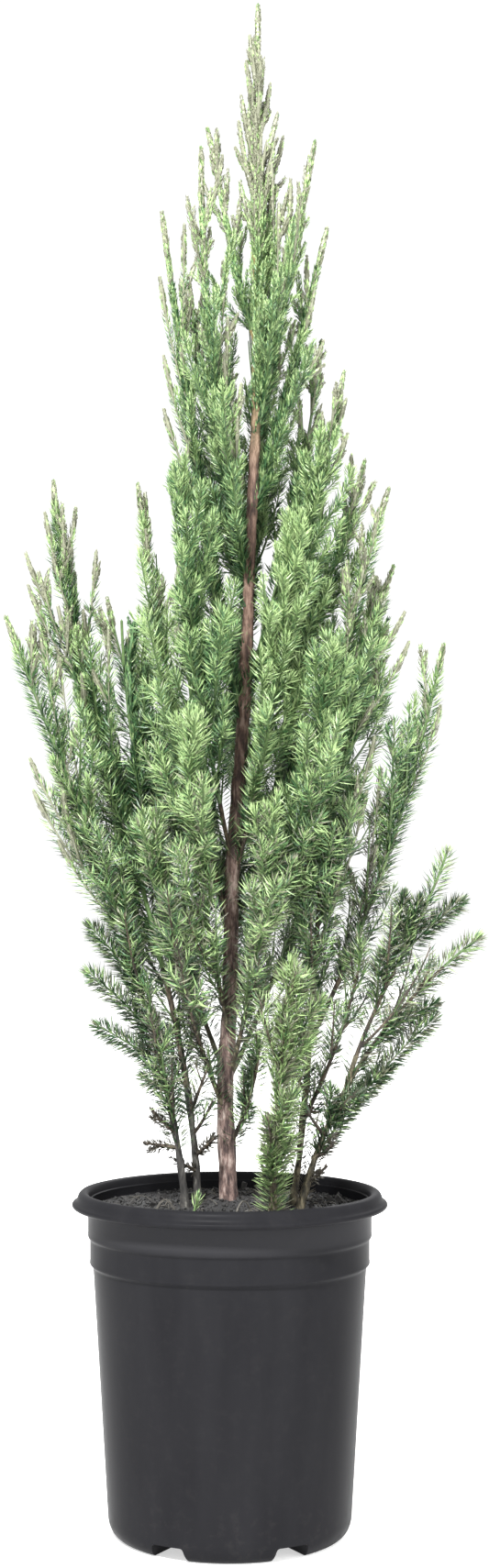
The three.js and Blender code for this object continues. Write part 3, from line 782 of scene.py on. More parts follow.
def channel_cutter():
    """A drain channel under the floor: a block narrowed at its roof, with rounded roof edges."""
    nothing_selected()
    run = CHANNEL_END_RADIUS - CHANNEL_START_RADIUS
    depth = CHANNEL_HEIGHT + CUT_BELOW
    place = (0, -(CHANNEL_START_RADIUS + run / 2) * MM, (CHANNEL_HEIGHT - depth / 2) * MM)
    bpy.ops.mesh.primitive_cube_add(size=1, location=place)
    cutter = bpy.context.object
    edit()
    bpy.ops.transform.resize(value=(CHANNEL_WIDTH * MM, run * MM, depth * MM))
    pick_faces(cutter, lambda face: face.normal.z > 0.9)
    bpy.ops.transform.resize(value=(CHANNEL_ROOF_WIDTH / CHANNEL_WIDTH, 1, 1))
    bpy.ops.mesh.bevel(offset=CHANNEL_EDGE * MM, segments=3, affect="EDGES")
    return round_copies(cutter, CHANNELS)


def drain_cutter():
    """A square drain hole through the roof of a channel."""
    nothing_selected()
    place = (0, -DRAIN_RADIUS * MM, CHANNEL_HEIGHT * MM)
    bpy.ops.mesh.primitive_cube_add(size=DRAIN_SIZE * MM, location=place)
    cutter = bpy.context.object
    edit()
    bpy.ops.mesh.select_all(action="SELECT")
    bpy.ops.mesh.bevel(offset=DRAIN_EDGE * MM, segments=2, affect="EDGES")
    return round_copies(cutter, CHANNELS)


def make_pot():
    pot = lathe("nursery_pot", pot_profile(), POT_STEPS)
    cut_away(pot, channel_cutter())
    cut_away(pot, drain_cutter())
    only(pot)
    bpy.ops.object.shade_smooth_by_angle(angle=math.radians(POT_SHARP_ANGLE))
    dress(pot, black_plastic(), ["pot"])


# Meshes from arrays


def placed(name, data):
    """A new object in the scene, made of the data."""
    made = bpy.data.objects.new(name, data)
    bpy.context.scene.collection.objects.link(made)
    return made


def mesh_piece(name, points, faces):
    """One piece from an array of points in millimetres and an array of triangles."""
    mesh = bpy.data.meshes.new(name)
    mesh.vertices.add(len(points))
    mesh.vertices.foreach_set("co", (points * MM).astype(np.float32).ravel())
    mesh.loops.add(faces.size)
    mesh.loops.foreach_set("vertex_index", faces.astype(np.int32).ravel())
    mesh.polygons.add(len(faces))
    mesh.polygons.foreach_set("loop_start", np.arange(0, faces.size, 3, dtype=np.int32))
    mesh.update(calc_edges=True)
    mesh.shade_flat()
    return placed(name, mesh)


class Heap:
    """Gathers small closed shapes that are joined into one piece."""

    def __init__(self):
        self.points = []
        self.faces = []
        self.count = 0

    def add(self, points, faces):
        self.points.append(points)
        self.faces.append(faces + self.count)
        self.count += len(points)

    def piece(self, name):
        return mesh_piece(name, np.concatenate(self.points), np.concatenate(self.faces))


def cross_directions(tangents, near=(1, 0.3, 0)):
    """Two directions square to each tangent, the first as near as can be to the given one."""
    near = np.asarray(near, float)
    across = near - tangents * (tangents @ near)[..., None]
    across /= np.linalg.norm(across, axis=-1, keepdims=True)
    return across, np.cross(tangents, across)


def tube(points, radii, sides):
    """A closed tapering tube along points, with a flat foot and a pointed end."""
    tangents = np.gradient(points, axis=0)
    tangents /= np.linalg.norm(tangents, axis=1, keepdims=True)
    across, over = cross_directions(tangents)
    turns = 2 * math.pi * np.arange(sides) / sides
    spokes = across[:, None] * np.cos(turns)[:, None] + over[:, None] * np.sin(turns)[:, None]
    rings = points[:, None] + spokes * np.asarray(radii)[:, None, None]
    end = points[-1] + tangents[-1] * radii[-1] * 1.5
    corners = np.concatenate([rings.reshape(-1, 3), points[:1], end[None]])
    side = np.arange(sides)
    after = (side + 1) % sides
    faces = []
    for ring in range(len(points) - 1):
        low = ring * sides
        high = low + sides
        faces.append(np.stack([low + side, low + after, high + after], 1))
        faces.append(np.stack([low + side, high + after, high + side], 1))
    last = (len(points) - 1) * sides
    foot, point = len(corners) - 2, len(corners) - 1
    faces.append(np.stack([after, side, np.full(sides, foot)], 1))
    faces.append(np.stack([last + side, last + after, np.full(sides, point)], 1))
    return corners, np.concatenate(faces)


# The potting mix


def soil_height(x, y):
    """The top of the mix: level at the wall and a little higher round the stems."""
    away = (x - MOUND_MIDDLE[0]) ** 2 + (y - MOUND_MIDDLE[1]) ** 2
    return SOIL_LEVEL - SOIL_DIP + SOIL_MOUND * np.exp(-away / MOUND_SPREAD)


def make_soil_bed():
    """A closed body of mix in the pot, its top raised to the mound and broken into clods."""
    wall = BODY_TOP_RADIUS - WALL - BED_GAP
    foot = [(0, SOIL_FLOOR), (BODY_FOOT_RADIUS - 4, SOIL_FLOOR)]
    sides = [BED_BELT, (wall, SOIL_LEVEL - 4), (wall, SOIL_LEVEL - 1)]
    rings = [(radius, float(soil_height(radius, 0))) for radius in (*BED_RINGS, 0)]
    bed = lathe("potting_mix", [*foot, *sides, *rings], BED_STEPS)
    edit()
    pick_faces(bed, lambda face: face.normal.z > 0.7 and face.center.z > 0.5 * SOIL_LEVEL * MM)
    bpy.ops.mesh.subdivide(number_cuts=1)
    leave_edit()
    shown = []
    for point in bed.data.vertices:
        x, y, z = point.co / MM
        if z > SOIL_LEVEL - 4 and math.hypot(x, y) < wall - 0.8:
            shown.append(point.index)
            point.co.z = (float(soil_height(x, y)) - BED_BELOW_CRUMBS) * MM
    bed.vertex_groups.new(name="top").add(shown, 1, "REPLACE")
    for name, grain, strength in BED_RELIEF:
        roughen(bed, name, grain, strength, 0.5, texture_coords="LOCAL", vertex_group="top")
    bed.vertex_groups.clear()
    smooth(bed)
    dress_soil(bed, "damp_mix", (13, 13, 14), (27, 27, 28))


def block_shape():
    """The corners and triangles of a six-sided block, for crumbs and chips."""
    corners = np.array([[x, y, z] for x in (-1, 1) for y in (-1, 1) for z in (-1, 1)], float)
    quads = ((0, 1, 3, 2), (4, 6, 7, 5), (0, 4, 5, 1), (2, 3, 7, 6), (0, 2, 6, 4), (1, 5, 7, 3))
    faces = [face for a, b, c, d in quads for face in ((a, b, c), (a, c, d))]
    return corners, np.array(faces)


def turned(draw):
    """A random turn in space, as a matrix."""
    made, _ = np.linalg.qr(draw.normal(size=(3, 3)))
    return made if np.linalg.det(made) > 0 else -made


def scattered(name, count, size, shape, seed):
    """Crumbs or chips strewn over the mix, each a block knocked out of square and turned about."""
    draw = np.random.default_rng(seed)
    corners, faces = block_shape()
    heap = Heap()
    for _ in range(count):
        radius = STREWN_RADIUS * math.sqrt(draw.random())
        angle = 2 * math.pi * draw.random()
        x, y = radius * math.cos(angle), radius * math.sin(angle)
        scale = size * lerp(0.5, 1.5, draw.random() ** 2)
        lump = corners * (np.asarray(shape) * scale) * draw.uniform(0.6, 1.1, (8, 3))
        place = np.array([x, y, float(soil_height(x, y)) + 0.25 * scale])
        heap.add(lump @ turned(draw).T + place, faces)
    return heap.piece(name)


def make_litter():
    """Pale dry stalks and curled needles that lie on the mix, and the arched ones at the front."""
    draw = np.random.default_rng(71)
    arches = list(ARCHED_STALKS)
    for _ in range(STALKS):
        radius = STALK_RADII[0] * math.sqrt(draw.random())
        angle = 2 * math.pi * draw.random()
        start = np.array([radius * math.cos(angle), radius * math.sin(angle)])
        turn = 2 * math.pi * draw.random()
        span = draw.uniform(5, 15)
        end = start + span * np.array([math.cos(turn), math.sin(turn)])
        if np.hypot(*end) < STALK_RADII[1]:
            arches.append((start, end, draw.uniform(0.6, 3), draw.uniform(0.3, 0.6)))
    heap = Heap()
    shares = np.linspace(0, 1, 8)
    for start, end, rise, thickness in arches:
        flat = np.asarray(start) + np.outer(shares, np.asarray(end) - np.asarray(start))
        height = soil_height(flat[:, 0], flat[:, 1]) + rise * 4 * shares * (1 - shares) + 0.2
        heap.add(*tube(np.column_stack([flat, height]), thickness * (1 - 0.5 * shares), 4))
    return heap.piece("dry_litter")


def dress_soil(piece, name, dark, pale):
    dress(piece, damp_soil(name, dark, pale), ["potting_soil"])


def make_soil():
    make_soil_bed()
    crumbs = scattered("mix_crumbs", CRUMBS, 0.66, (1, 0.9, 0.6), 11)
    dress_soil(crumbs, "crumb_mix", (34, 34, 34), (50, 49, 48))
    chips = scattered("bark_chips", CHIPS, 1.6, (1.5, 0.7, 0.3), 23)
    dress_soil(chips, "chip_mix", (24, 23, 23), (70, 68, 66))
    dress_soil(make_litter(), "dry_stalks", (48, 46, 42), (94, 90, 82))


# The plant's frame, by the rule of the part's source


def seeded(seed):
    """The source's random numbers: one seed always grows the same twigs."""
    state = seed & 0xFFFFFFFF

    def draw():
        nonlocal state
        state = (state + 0x6D2B79F5) & 0xFFFFFFFF
        mixed = ((state ^ (state >> 15)) * (state | 1)) & 0xFFFFFFFF
        mixed ^= (mixed + (((mixed ^ (mixed >> 7)) * (mixed | 61)) & 0xFFFFFFFF)) & 0xFFFFFFFF
        return ((mixed ^ (mixed >> 14)) & 0xFFFFFFFF) / 4294967296

    return draw


def trunk_axis(height):
    lean = TRUNK_LEAN * smooth_rise(height, LEAN_FROM, LEAN_TO)
    return np.stack([lean, np.zeros_like(lean), np.asarray(height, float) + 0 * lean], -1)


def trunk_radius(height):
    share = (height - SOIL_LEVEL) / (TRUNK_TOP - SOIL_LEVEL)
    flare = FLARE * np.exp((SOIL_LEVEL - height) / FLARE_HEIGHT)
    return lerp(TRUNK_FOOT_RADIUS, TRUNK_TOP_RADIUS, share) + flare


class Bend:
    """A Bezier curve through space, given by its control points."""

    def __init__(self, *controls):
        self.controls = np.array(controls, float)
        along = self.at(np.linspace(0, 1, 65))
        self.length = float(np.linalg.norm(np.diff(along, axis=0), axis=1).sum())

    @staticmethod
    def drawn_together(rows, shares):
        """At each share, neighbouring rows blended until one is left."""
        shares = np.asarray(shares, float)
        level = [np.broadcast_to(row, shares.shape + (3,)) for row in rows]
        while len(level) > 1:
            level = [lerp(a, b, shares[..., None]) for a, b in zip(level, level[1:])]
        return level[0]

    def at(self, shares):
        return self.drawn_together(self.controls, shares)

    def heading(self, shares):
        way = self.drawn_together(np.diff(self.controls, axis=0), shares)
        return way / np.linalg.norm(way, axis=-1, keepdims=True)

    def section(self, low, high):
        """A stretch of the curve as a quadratic bend of its own."""
        return through(*self.at([low, (low + high) / 2, high]))


def through(start, middle, end):
    """The quadratic bend that passes a middle point half way."""
    return Bend(start, 2 * middle - 0.5 * (start + end), end)


class Plume:
    """One plume: an axis from its root to its tip, bare at the foot, and the space that is its own."""

    def __init__(self, index, name, root, foot, tip, spread, bare):
        self.name = name
        self.root = root
        self.random = seeded(index + 1)
        start = self.foot_of(root, foot)
        tip = np.array(tip, float)
        bends = [lerp(start, tip, share) for share in spread]
        for third, bend in enumerate(bends):
            bend[2] = lerp(start[2], tip[2], (third + 1) / 3)
        self.axis = Bend(start, *bends, tip)
        self.length = self.axis.length
        if bare is None:
            bare = BOUGH_SHARE if root == "trunk" and foot < BOUGHS_BELOW else 0
        self.bare = bare
        self.radius = {"soil": STEM_RADIUS, "trunk_top": TRUNK_TOP_RADIUS}.get(root, BOUGH_RADIUS)
        self.trail = self.axis.at(np.linspace(0, 1, 17))
        self.green = PLUME_GREENS.get(name, USUAL_GREEN)
        self.grey = PLUME_GREYS.get(name, GREY_SHARE)
        self.tip_green = PALEST if self.green > 1 else SHADED_TIP
        self.clad = FIRST_NEEDLES.get(name, min(bare, BOUGH_NEEDLES))
        self.full_twigs = FULL_TWIGS.get(name, bare)
        self.slender = SLENDER.get(name, 1)
        self.loose = LOOSE.get(name, 1)
        self.cords = 0 if name in SPREAD_TIPS else float(smooth_rise(tip[2], *CORD_TIPS))

    @staticmethod
    def foot_of(root, foot):
        if root == "soil":
            return np.array([*foot, SOIL_LEVEL + CLEARANCE], float)
        if root == "trunk":
            return trunk_axis(foot)
        if root == "trunk_top":
            return trunk_axis(TRUNK_TOP + CLEARANCE)
        return PLUMES[root].axis.at(foot)

    def radius_at(self, share):
        return lerp(self.radius, SHOOT_TIP_RADIUS, share ** 0.6)


def back_plumes():
    for name, count, turns, reach, foot, rise, tips in BACK_TIERS:
        for i in range(count):
            angle = math.radians(lerp(*turns, i / (count - 1)))
            out = reach * (INNER_REACH if i % 2 else 1)
            height = tips[i % 2]
            tip = (float(trunk_axis(height)[0]) + out * math.cos(angle), out * math.sin(angle), height)
            yield f"{name}_{i + 1}", "trunk", foot + i * rise, tip, BACK_SPREAD, None


PLUMES = {}
for order, plan in enumerate((*SHOWN_PLUMES, *back_plumes())):
    PLUMES[plan[0]] = Plume(order, *plan)
PLUME_NAMES = list(PLUMES)
TRAIL_STARTS = np.array([plume.trail[:-1] for plume in PLUMES.values()])
TRAIL_STEPS = np.array([np.diff(plume.trail, axis=0) for plume in PLUMES.values()])


def axis_distances(points):
    """How far each point is from the axis of every plume."""
    offsets = points[:, None, None] - TRAIL_STARTS
    along = (offsets * TRAIL_STEPS).sum(-1) / (TRAIL_STEPS ** 2).sum(-1)
    gaps = offsets - np.clip(along, 0, 1)[..., None] * TRAIL_STEPS
    return np.linalg.norm(gaps, axis=-1).min(-1)


def as_seen(points):
    """Where the camera sees points, as sideways place and height in the plane of the pot's axis."""
    nearness = CAMERA_DISTANCE / (CAMERA_DISTANCE + points[:, 1])
    return points[:, 0] * nearness, CAMERA_HEIGHT + (points[:, 2] - CAMERA_HEIGHT) * nearness


def between(x, z, rows):
    """How far places lie inside the left and the right side that rows give for their heights."""
    heights, left, right = np.array(rows).T
    return x - np.interp(z, heights, left), np.interp(z, heights, right) - x


def past_edge(points, beyond=0):
    """Which points lie outside the crown's edge, moved out by a distance, or in its notch."""
    x, z = as_seen(points)
    margin = -beyond if beyond else np.interp(z, EDGE_MARGIN_HEIGHTS, EDGE_MARGINS)
    from_left, from_right = between(x, z, CROWN_EDGE)
    outside = (from_left < margin) | (from_right < margin)
    from_left, from_right = between(x, z, NOTCH)
    in_notch = (from_left > 0) & (from_right > 0) & (z > NOTCH[0][0]) & (z < NOTCH[-1][0])
    return outside | in_notch


def in_sky_gap(points, size=1):
    """Which points the camera sees in a gap of the crown, with the gaps at a share of their size."""
    x, z = as_seen(points)
    middle, height, half_width, half_height = np.array(SKY_GAPS).T
    off = ((x[:, None] - middle) / half_width) ** 2 + ((z[:, None] - height) / half_height) ** 2
    return off.min(1) < size ** 2


def has_room(points, plume, margin):
    """True where all points lie in the plume's own space and in the crown, off gaps, trunk and pot."""
    if past_edge(points).any() or in_sky_gap(points).any():
        return False
    x, y, z = points.T
    beyond_rim = (z < POT_HEIGHT + 2) & (np.hypot(x, y) > BODY_TOP_RADIUS - 6)
    trunk_x = trunk_axis(np.minimum(z, TRUNK_TOP))[:, 0]
    near_trunk = np.hypot(x - trunk_x, y) < trunk_radius(z) + 2
    in_window = (y < 0) & (np.abs(x - trunk_x) < trunk_radius(z) + WINDOW_MARGIN) & (z < WINDOW_TOP)
    if (beyond_rim | (z < SOIL_LEVEL + 2) | in_window).any():
        return False
    if plume.root != "trunk_top" and near_trunk.any():
        return False
    gaps = axis_distances(points)
    own = PLUME_NAMES.index(plume.name)
    others = np.delete(gaps, own, axis=1)
    return bool((others > gaps[:, own, None] + margin).all())


# Bark


def bark_limb(name, points, radii, sides, relief):
    """A limb drawn as a round curve of its own thickness, then cracked and ridged along its length."""
    nothing_selected()
    bpy.ops.curve.primitive_nurbs_path_add()
    path = bpy.context.object
    path.name = name
    path.data.splines.clear()
    line = path.data.splines.new("POLY")
    line.points.add(len(points) - 1)
    for point, place, radius in zip(line.points, points, radii):
        point.co = (*(np.asarray(place) * MM), 1)
        point.radius = radius
    path.data.bevel_depth = MM
    path.data.bevel_resolution = sides // 2 - 2
    path.data.use_fill_caps = True
    bpy.ops.object.convert(target="MESH")
    limb = bpy.context.object
    edit()
    close_seams(LIMB_SEAM)
    bpy.ops.object.empty_add(location=(0, 0, 0))
    grain = bpy.context.object
    grain.scale = (1, 1, SHRED_LENGTH)
    bpy.context.view_layer.update()
    roughen(limb, "knots", KNOT_GRAIN, KNOT_RELIEF * relief, 0.55)
    along = {"texture_coords": "OBJECT", "texture_coords_object": grain}
    roughen(limb, "shreds", SHRED_GRAIN, relief, 0.55, **along)
    bpy.data.objects.remove(grain)
    smooth(limb)
    return limb


def make_trunk():
    heights = np.linspace(SOIL_LEVEL - 2.5, TRUNK_TOP + 3, TRUNK_POINTS)
    points = trunk_axis(heights)
    bow = np.clip((heights - SOIL_LEVEL) / (TRUNK_BOW_TOP - SOIL_LEVEL), 0, 1)
    wavy = 0.7 * np.sin(heights / 31) * smooth_rise(heights, 230, 300)
    points[:, 0] += wavy - TRUNK_FOOT_BOW * np.sin(math.pi * bow)
    points[:, 1] += 0.6 * np.sin(heights / 24 + 1)
    radii = trunk_radius(np.maximum(heights, SOIL_LEVEL))
    dress(bark_limb("trunk_bark", points, radii, 32, 1.25), RED_BARK, ["trunk"])


def make_bare_wood(plume):
    """The bare foot of a plume, as a stem from the soil or a bough from the trunk or another stem."""
    from_soil = plume.root == "soil"
    kind, sides, relief = ("stem", 16, 1.1) if from_soil else ("bough", 12, 0.75)
    shares = np.linspace(0, plume.bare + 0.012, max(8, int(plume.length * plume.bare / 1.5)))
    points = plume.axis.at(shares)
    radii = plume.radius_at(shares)
    if from_soil:
        radii = radii * (1 + (STEM_FLARE - 1) * np.exp(-shares * plume.length / 7))
        points = np.concatenate([points[:1] - [0, 0, 3], points])
        radii = np.concatenate([radii[:1], radii])
    limb = bark_limb(f"{plume.name}_{kind}_bark", points, radii, sides, relief)
    bark = GREY_BARK if plume.name in GREY_STEMS else BROWN_BARK
    dress(limb, bark, [f"{plume.name}_{kind}"])


def make_wood():
    make_trunk()
    for plume in PLUMES.values():
        if plume.bare > 0:
            make_bare_wood(plume)


# Foliage


# One shoot: its curve, where it stands on its plume, its green, its thickness, how often it is clothed with
# needles, and whether it may pass the crown's edge
Twig = namedtuple("Twig", "curve height green thickness coats shown", defaults=(1, False))


def twig_curve(parent, share, turn, length, angle, rise):
    """A twig leaves its parent at an angle and bends up as it grows."""
    tangent = parent.heading(share)
    across, over = cross_directions(tangent, (1, 0, 0))
    side = across * math.cos(turn) + over * math.sin(turn)
    angle = math.radians(angle)
    leave = tangent * math.cos(angle) + side * math.sin(angle)
    end = lerp(leave, np.array([0, 0, 1.0]), rise)
    end /= np.linalg.norm(end)
    foot = parent.at(share)
    bend = foot + leave * length * 0.5
    return Bend(foot, bend, bend + end * length * 0.5)


def roomy_curve(plume, share, turn, length, angle, margin):
    """The rule's twig, or the nearest in turn and length that has room."""
    for keep in TWIG_KEEPS:
        for swing in TWIG_SWINGS:
            curve = twig_curve(plume.axis, share, turn + math.radians(swing), length * keep, angle, TWIG_RISE)
            if has_room(curve.at([0.5, 0.75, 1]), plume, margin):
                return curve
    return None


def behind_tip(plume, share, length):
    """A twig's length, cut short on the lowest needled wood and near the tip, which it doesn't overtake."""
    grown = float(smooth_rise(share, plume.clad, max(plume.full_twigs, plume.clad + 0.02)))
    left = (1 - share) * plume.length
    return min(length * lerp(LOWEST_TWIG_SHARE, 1, grown), TIP_TWIG_SHARE * left + TIP_TWIG_REACH)


def twigs_along(plume, count, first, last, full, taper, sizes, shortest):
    """Twigs up a plume's axis at the golden angle: each one's share of the axis, height, turn and length."""
    start = 2 * math.pi * plume.random()
    for i in range(count):
        share = lerp(first, last, (i + TWIG_JITTER * plume.random()) / count)
        height = (share - first) / (1 - first)
        length = full * (1 - taper * height) * lerp(*sizes, plume.random())
        yield share, height, start + i * GOLDEN_ANGLE, behind_tip(plume, share, max(shortest, length))


def longest_twig(plume):
    return min(max(plume.length * TWIG_SHARE, SHORTEST_TWIG), LONGEST_TWIG)


def main_twigs(plume):
    """The twigs of the source's rule, drawn from the same seed."""
    first = plume.bare + FIRST_TWIG * (1 - plume.bare)
    count = max(FEWEST_TWIGS, math.floor(plume.length * (1 - plume.bare) / TWIG_SPACING + 0.5))
    full = longest_twig(plume)
    return twigs_along(plume, count, first, LAST_TWIG, full, TWIG_TAPER, TWIG_SIZES, SHORTEST_TWIG)


def side_twigs(plume):
    """Shorter twigs between the main ones, by the same rule at a closer step."""
    first = lerp(plume.clad, plume.bare, 0.4) + 0.5 * FIRST_TWIG * (1 - plume.bare)
    last = lerp(*LAST_SIDES, plume.cords)
    count = max(FEWEST_TWIGS, round(plume.length * (1 - first) / (SIDE_SPACING * plume.loose)))
    full = SIDE_SHARE * plume.slender * longest_twig(plume)
    return twigs_along(plume, count, first, last, full, SIDE_TAPER, SIDE_SIZES, SHORTEST_SIDE)


def twiglets(plume, twig):
    """The last order of twigs, short and nearly flat along their parent."""
    length = twig.curve.length
    cord = cords_of(plume, twig.height, twig.curve.at(CORD_PLACE))[0]
    count = int(length * 0.8 / (plume.loose * lerp(TWIGLET_SPACING, 2 * TWIGLET_SPACING, cord)))
    last = lerp(*LAST_TWIGLETS, cord)
    start = 2 * math.pi * plume.random()
    for i in range(count):
        share = lerp(FIRST_TWIGLET, last, (i + 0.7 * plume.random()) / count)
        size = TWIGLET_SHARE * length * (1 - TWIGLET_TAPER * share) * lerp(*TWIGLET_SIZES, plume.random())
        size = min(max(size, lerp(*SHORTEST_TWIGLETS, cord)), LONGEST_TWIGLET)
        turn = start + i * GOLDEN_ANGLE
        curve = twig_curve(twig.curve, share, turn, size, lerp(*TWIGLET_ANGLES, cord), TWIGLET_RISE)
        if has_room(curve.at([0.6, 1]), plume, -TWIGLET_OVERLAP):
            green = twig.green + lerp(-TWIGLET_GREEN_SHIFT, TWIGLET_GREEN_SHIFT, plume.random())
            yield Twig(curve, lerp(twig.height, 1, 0.15 * share), green, TWIGLET_THICKNESS)


def grow(plume):
    """The shoots of a plume, from its main twigs to its last twiglets."""
    shoots = []
    kinds = (
        (main_twigs, 0, TWIG_THICKNESS, TWIG_ANGLES),
        (side_twigs, -SIDE_OVERLAP, SIDE_THICKNESS, SIDE_ANGLES),
    )
    for rule, margin, thickness, angles in kinds:
        for share, height, turn, length in rule(plume):
            curve = roomy_curve(plume, share, turn, length, lerp(*angles, height), margin)
            green = plume.green + lerp(-GREEN_SHIFT, GREEN_SHIFT, plume.random())
            if curve is not None:
                shoots.append(Twig(curve, height, green, thickness))
    for twig in list(shoots):
        shoots.extend(twiglets(plume, twig))
    return shoots


# The greens of the needles and the woods of the twigs are gathered over the whole crown.
NEEDLES = [Heap() for _ in NEEDLE_GREENS]
GREEN_TWIGS = Heap()
BROWN_TWIGS = Heap()
NEEDLE_FACES = np.array([[0, 2, 1], [1, 2, 3], [0, 1, 3], [0, 3, 2]])


def cord_along(cords, ahead):
    """How close-scaled a shoot is at each distance below its tip."""
    return lerp(cords[0], cords[1], 1 - smooth_rise(ahead, 8, 30))


def left_out(tips, shown, draw):
    """Which needles are left out: in pot, trunk or gaps, past the edge, and some that hide the trunk."""
    x, y, z = tips.T
    trunk_x = trunk_axis(np.minimum(z, TRUNK_TOP))[:, 0]
    in_pot = (z < SOIL_LEVEL + 1) | ((z < POT_HEIGHT + 1) & (np.hypot(x, y) > BODY_TOP_RADIUS - 3))
    in_trunk = (np.hypot(x - trunk_x, y) < trunk_radius(z)) & (z < TRUNK_TOP - 20)
    over_trunk = (y < 0) & (np.abs(x - trunk_x) < 0.6 * trunk_radius(z)) & (z < TRUNK_BARED_BELOW)
    over_trunk &= draw.random(len(tips)) < TRUNK_BARED_SHARE
    over_edge = past_edge(tips, NEEDLES_PAST_EDGE) & (z > EDGE_FROM) & (not shown)
    return in_pot | in_trunk | over_trunk | over_edge | in_sky_gap(tips, NEEDLE_GAP_SHARE)


def tones_of(greens, height, ahead, cord, draw):
    """The tone of each needle: fresher towards a tip, darker far below it as painted shade of the crown's
    inside, and partly greyed low down.
    """
    if greens is None:
        return np.full(len(ahead), DRY)
    leaf, tip, grey = greens
    low = 1 - float(smooth_rise(height, *LOW_ZONE))
    fresh = FRESHER * float(smooth_rise(height, *FRESH_ZONE)) * (1 - smooth_rise(ahead, 2, 18))
    # Painted shade: needles far below a tip, deep in the crown, are dealt darker tones
    level = leaf + LOW_PALER * low + fresh - INSIDE_PAINTED_SHADE * smooth_rise(ahead, 12, 50)
    level = lerp(level, tip, cord)
    level += draw.normal(0, 1, len(ahead)) * lerp(lerp(*TONE_SPREADS, low), CORD_TONE_SPREAD, cord)
    chosen = np.clip(np.round(level), 0, np.where(cord > 0.4, PALEST, PALEST - 1)).astype(int)
    greyed = (draw.random(len(ahead)) < grey * low) & (chosen > 0)
    chosen[greyed] = np.where(chosen[greyed] > 2, PALEST, DULL)
    return chosen


def needles_on(curve, start, cords, greens, draw, open_end=False, stem=0, shown=False):
    """Sets crossed pairs of needles along a curve, from a start, on a stem of a radius.

    cords says how close-scaled the shoot is below and at its tip: 0 for spread needles and 1 for a cord.
    greens are the tones of leaf and tip and the greyed share, or None where the shoot is dry. The needles
    close up towards the tip, unless the end is open, where the shoot goes on. A shown shoot may pass the
    crown's edge.
    """
    length = curve.length
    height = float(curve.at(0.5)[2])
    kinds = (NEEDLE_STEPS, NEEDLE_LENGTHS, NEEDLE_SPREADS, NEEDLE_WIDTHS)
    step, full, spread, width = [float(np.interp(height, NEEDLE_HEIGHTS, kind)) for kind in kinds]
    step = lerp(step, CORD_STEP, float(cord_along(cords, length * np.linspace(0, 1, 9)).mean()))
    pairs = int((length - start) / (2 * step))
    if pairs < 2:
        return
    count = 2 * pairs
    order = np.arange(count)
    run = start + 2 * step * (order // 2 + 0.5) + draw.normal(0, 0.25, count)
    ahead = length - run + (OPEN_END if open_end else 0)
    cord = cord_along(cords, ahead)
    full = lerp(full, CORD_NEEDLE, cord)
    spread = lerp(spread, CORD_SPREAD, cord)
    width = lerp(width, CORD_WIDTH, cord)
    if greens is None:
        full, spread, width = [part * dry for part, dry in zip((full, spread, width), DRY_SHARES)]
    opened = smooth_rise(ahead, 0, lerp(8, 9, cord))

    # Each needle leaves the stem's side at an angle, and is broadest below its middle.
    shares = np.clip(run / length, 0, 1)
    tangents = curve.heading(shares)
    across, over = cross_directions(tangents)
    crossed = math.pi * (order % 2) + 0.5 * math.pi * (order // 2 % 2)
    turns = crossed + draw.normal(0, 0.3, count) + draw.random()
    side = across * np.cos(turns)[:, None] + over * np.sin(turns)[:, None]
    angle = np.radians(lerp(np.minimum(14, spread), spread, opened) + draw.normal(0, 5, count))
    size = full * lerp(0.5, 1, opened) * draw.uniform(0.82, 1.15, count)
    direction = tangents * np.cos(angle)[:, None] + side * np.sin(angle)[:, None]
    wide = np.cross(direction, side)
    wide /= np.linalg.norm(wide, axis=1, keepdims=True)
    keel = np.cross(wide, direction)
    half = (0.5 * width * lerp(0.75, 1, opened))[:, None]
    off_axis = np.maximum(0.8 * stem, lerp(0.3, 0.8 * lerp(0.5, 1, opened), cord))
    base = curve.at(shares) + side * off_axis[:, None]
    tip = base + direction * size[:, None]
    broadest = base + NEEDLE_BROADEST * direction * size[:, None] + keel * half * 0.8
    corners = np.stack([base, broadest + wide * half, broadest - wide * half, tip], 1)
    kept = ~left_out(tip, shown, draw)
    chosen = tones_of(greens, height, ahead, cord, draw)
    for tone, heap in enumerate(NEEDLES):
        mine = corners[kept & (chosen == tone)]
        if len(mine):
            faces = NEEDLE_FACES + 4 * np.arange(len(mine))[:, None, None]
            heap.add(mine.reshape(-1, 3), faces.reshape(-1, 3))


def cords_of(plume, height, place):
    """How close-scaled a shoot is, below and at its tip: cords form the top and the tips of tall plumes."""
    top = float(smooth_rise(place[2], *CORDS_CLOSE))
    return top, max(top, plume.cords * float(smooth_rise(height, 0.5, 0.8)))


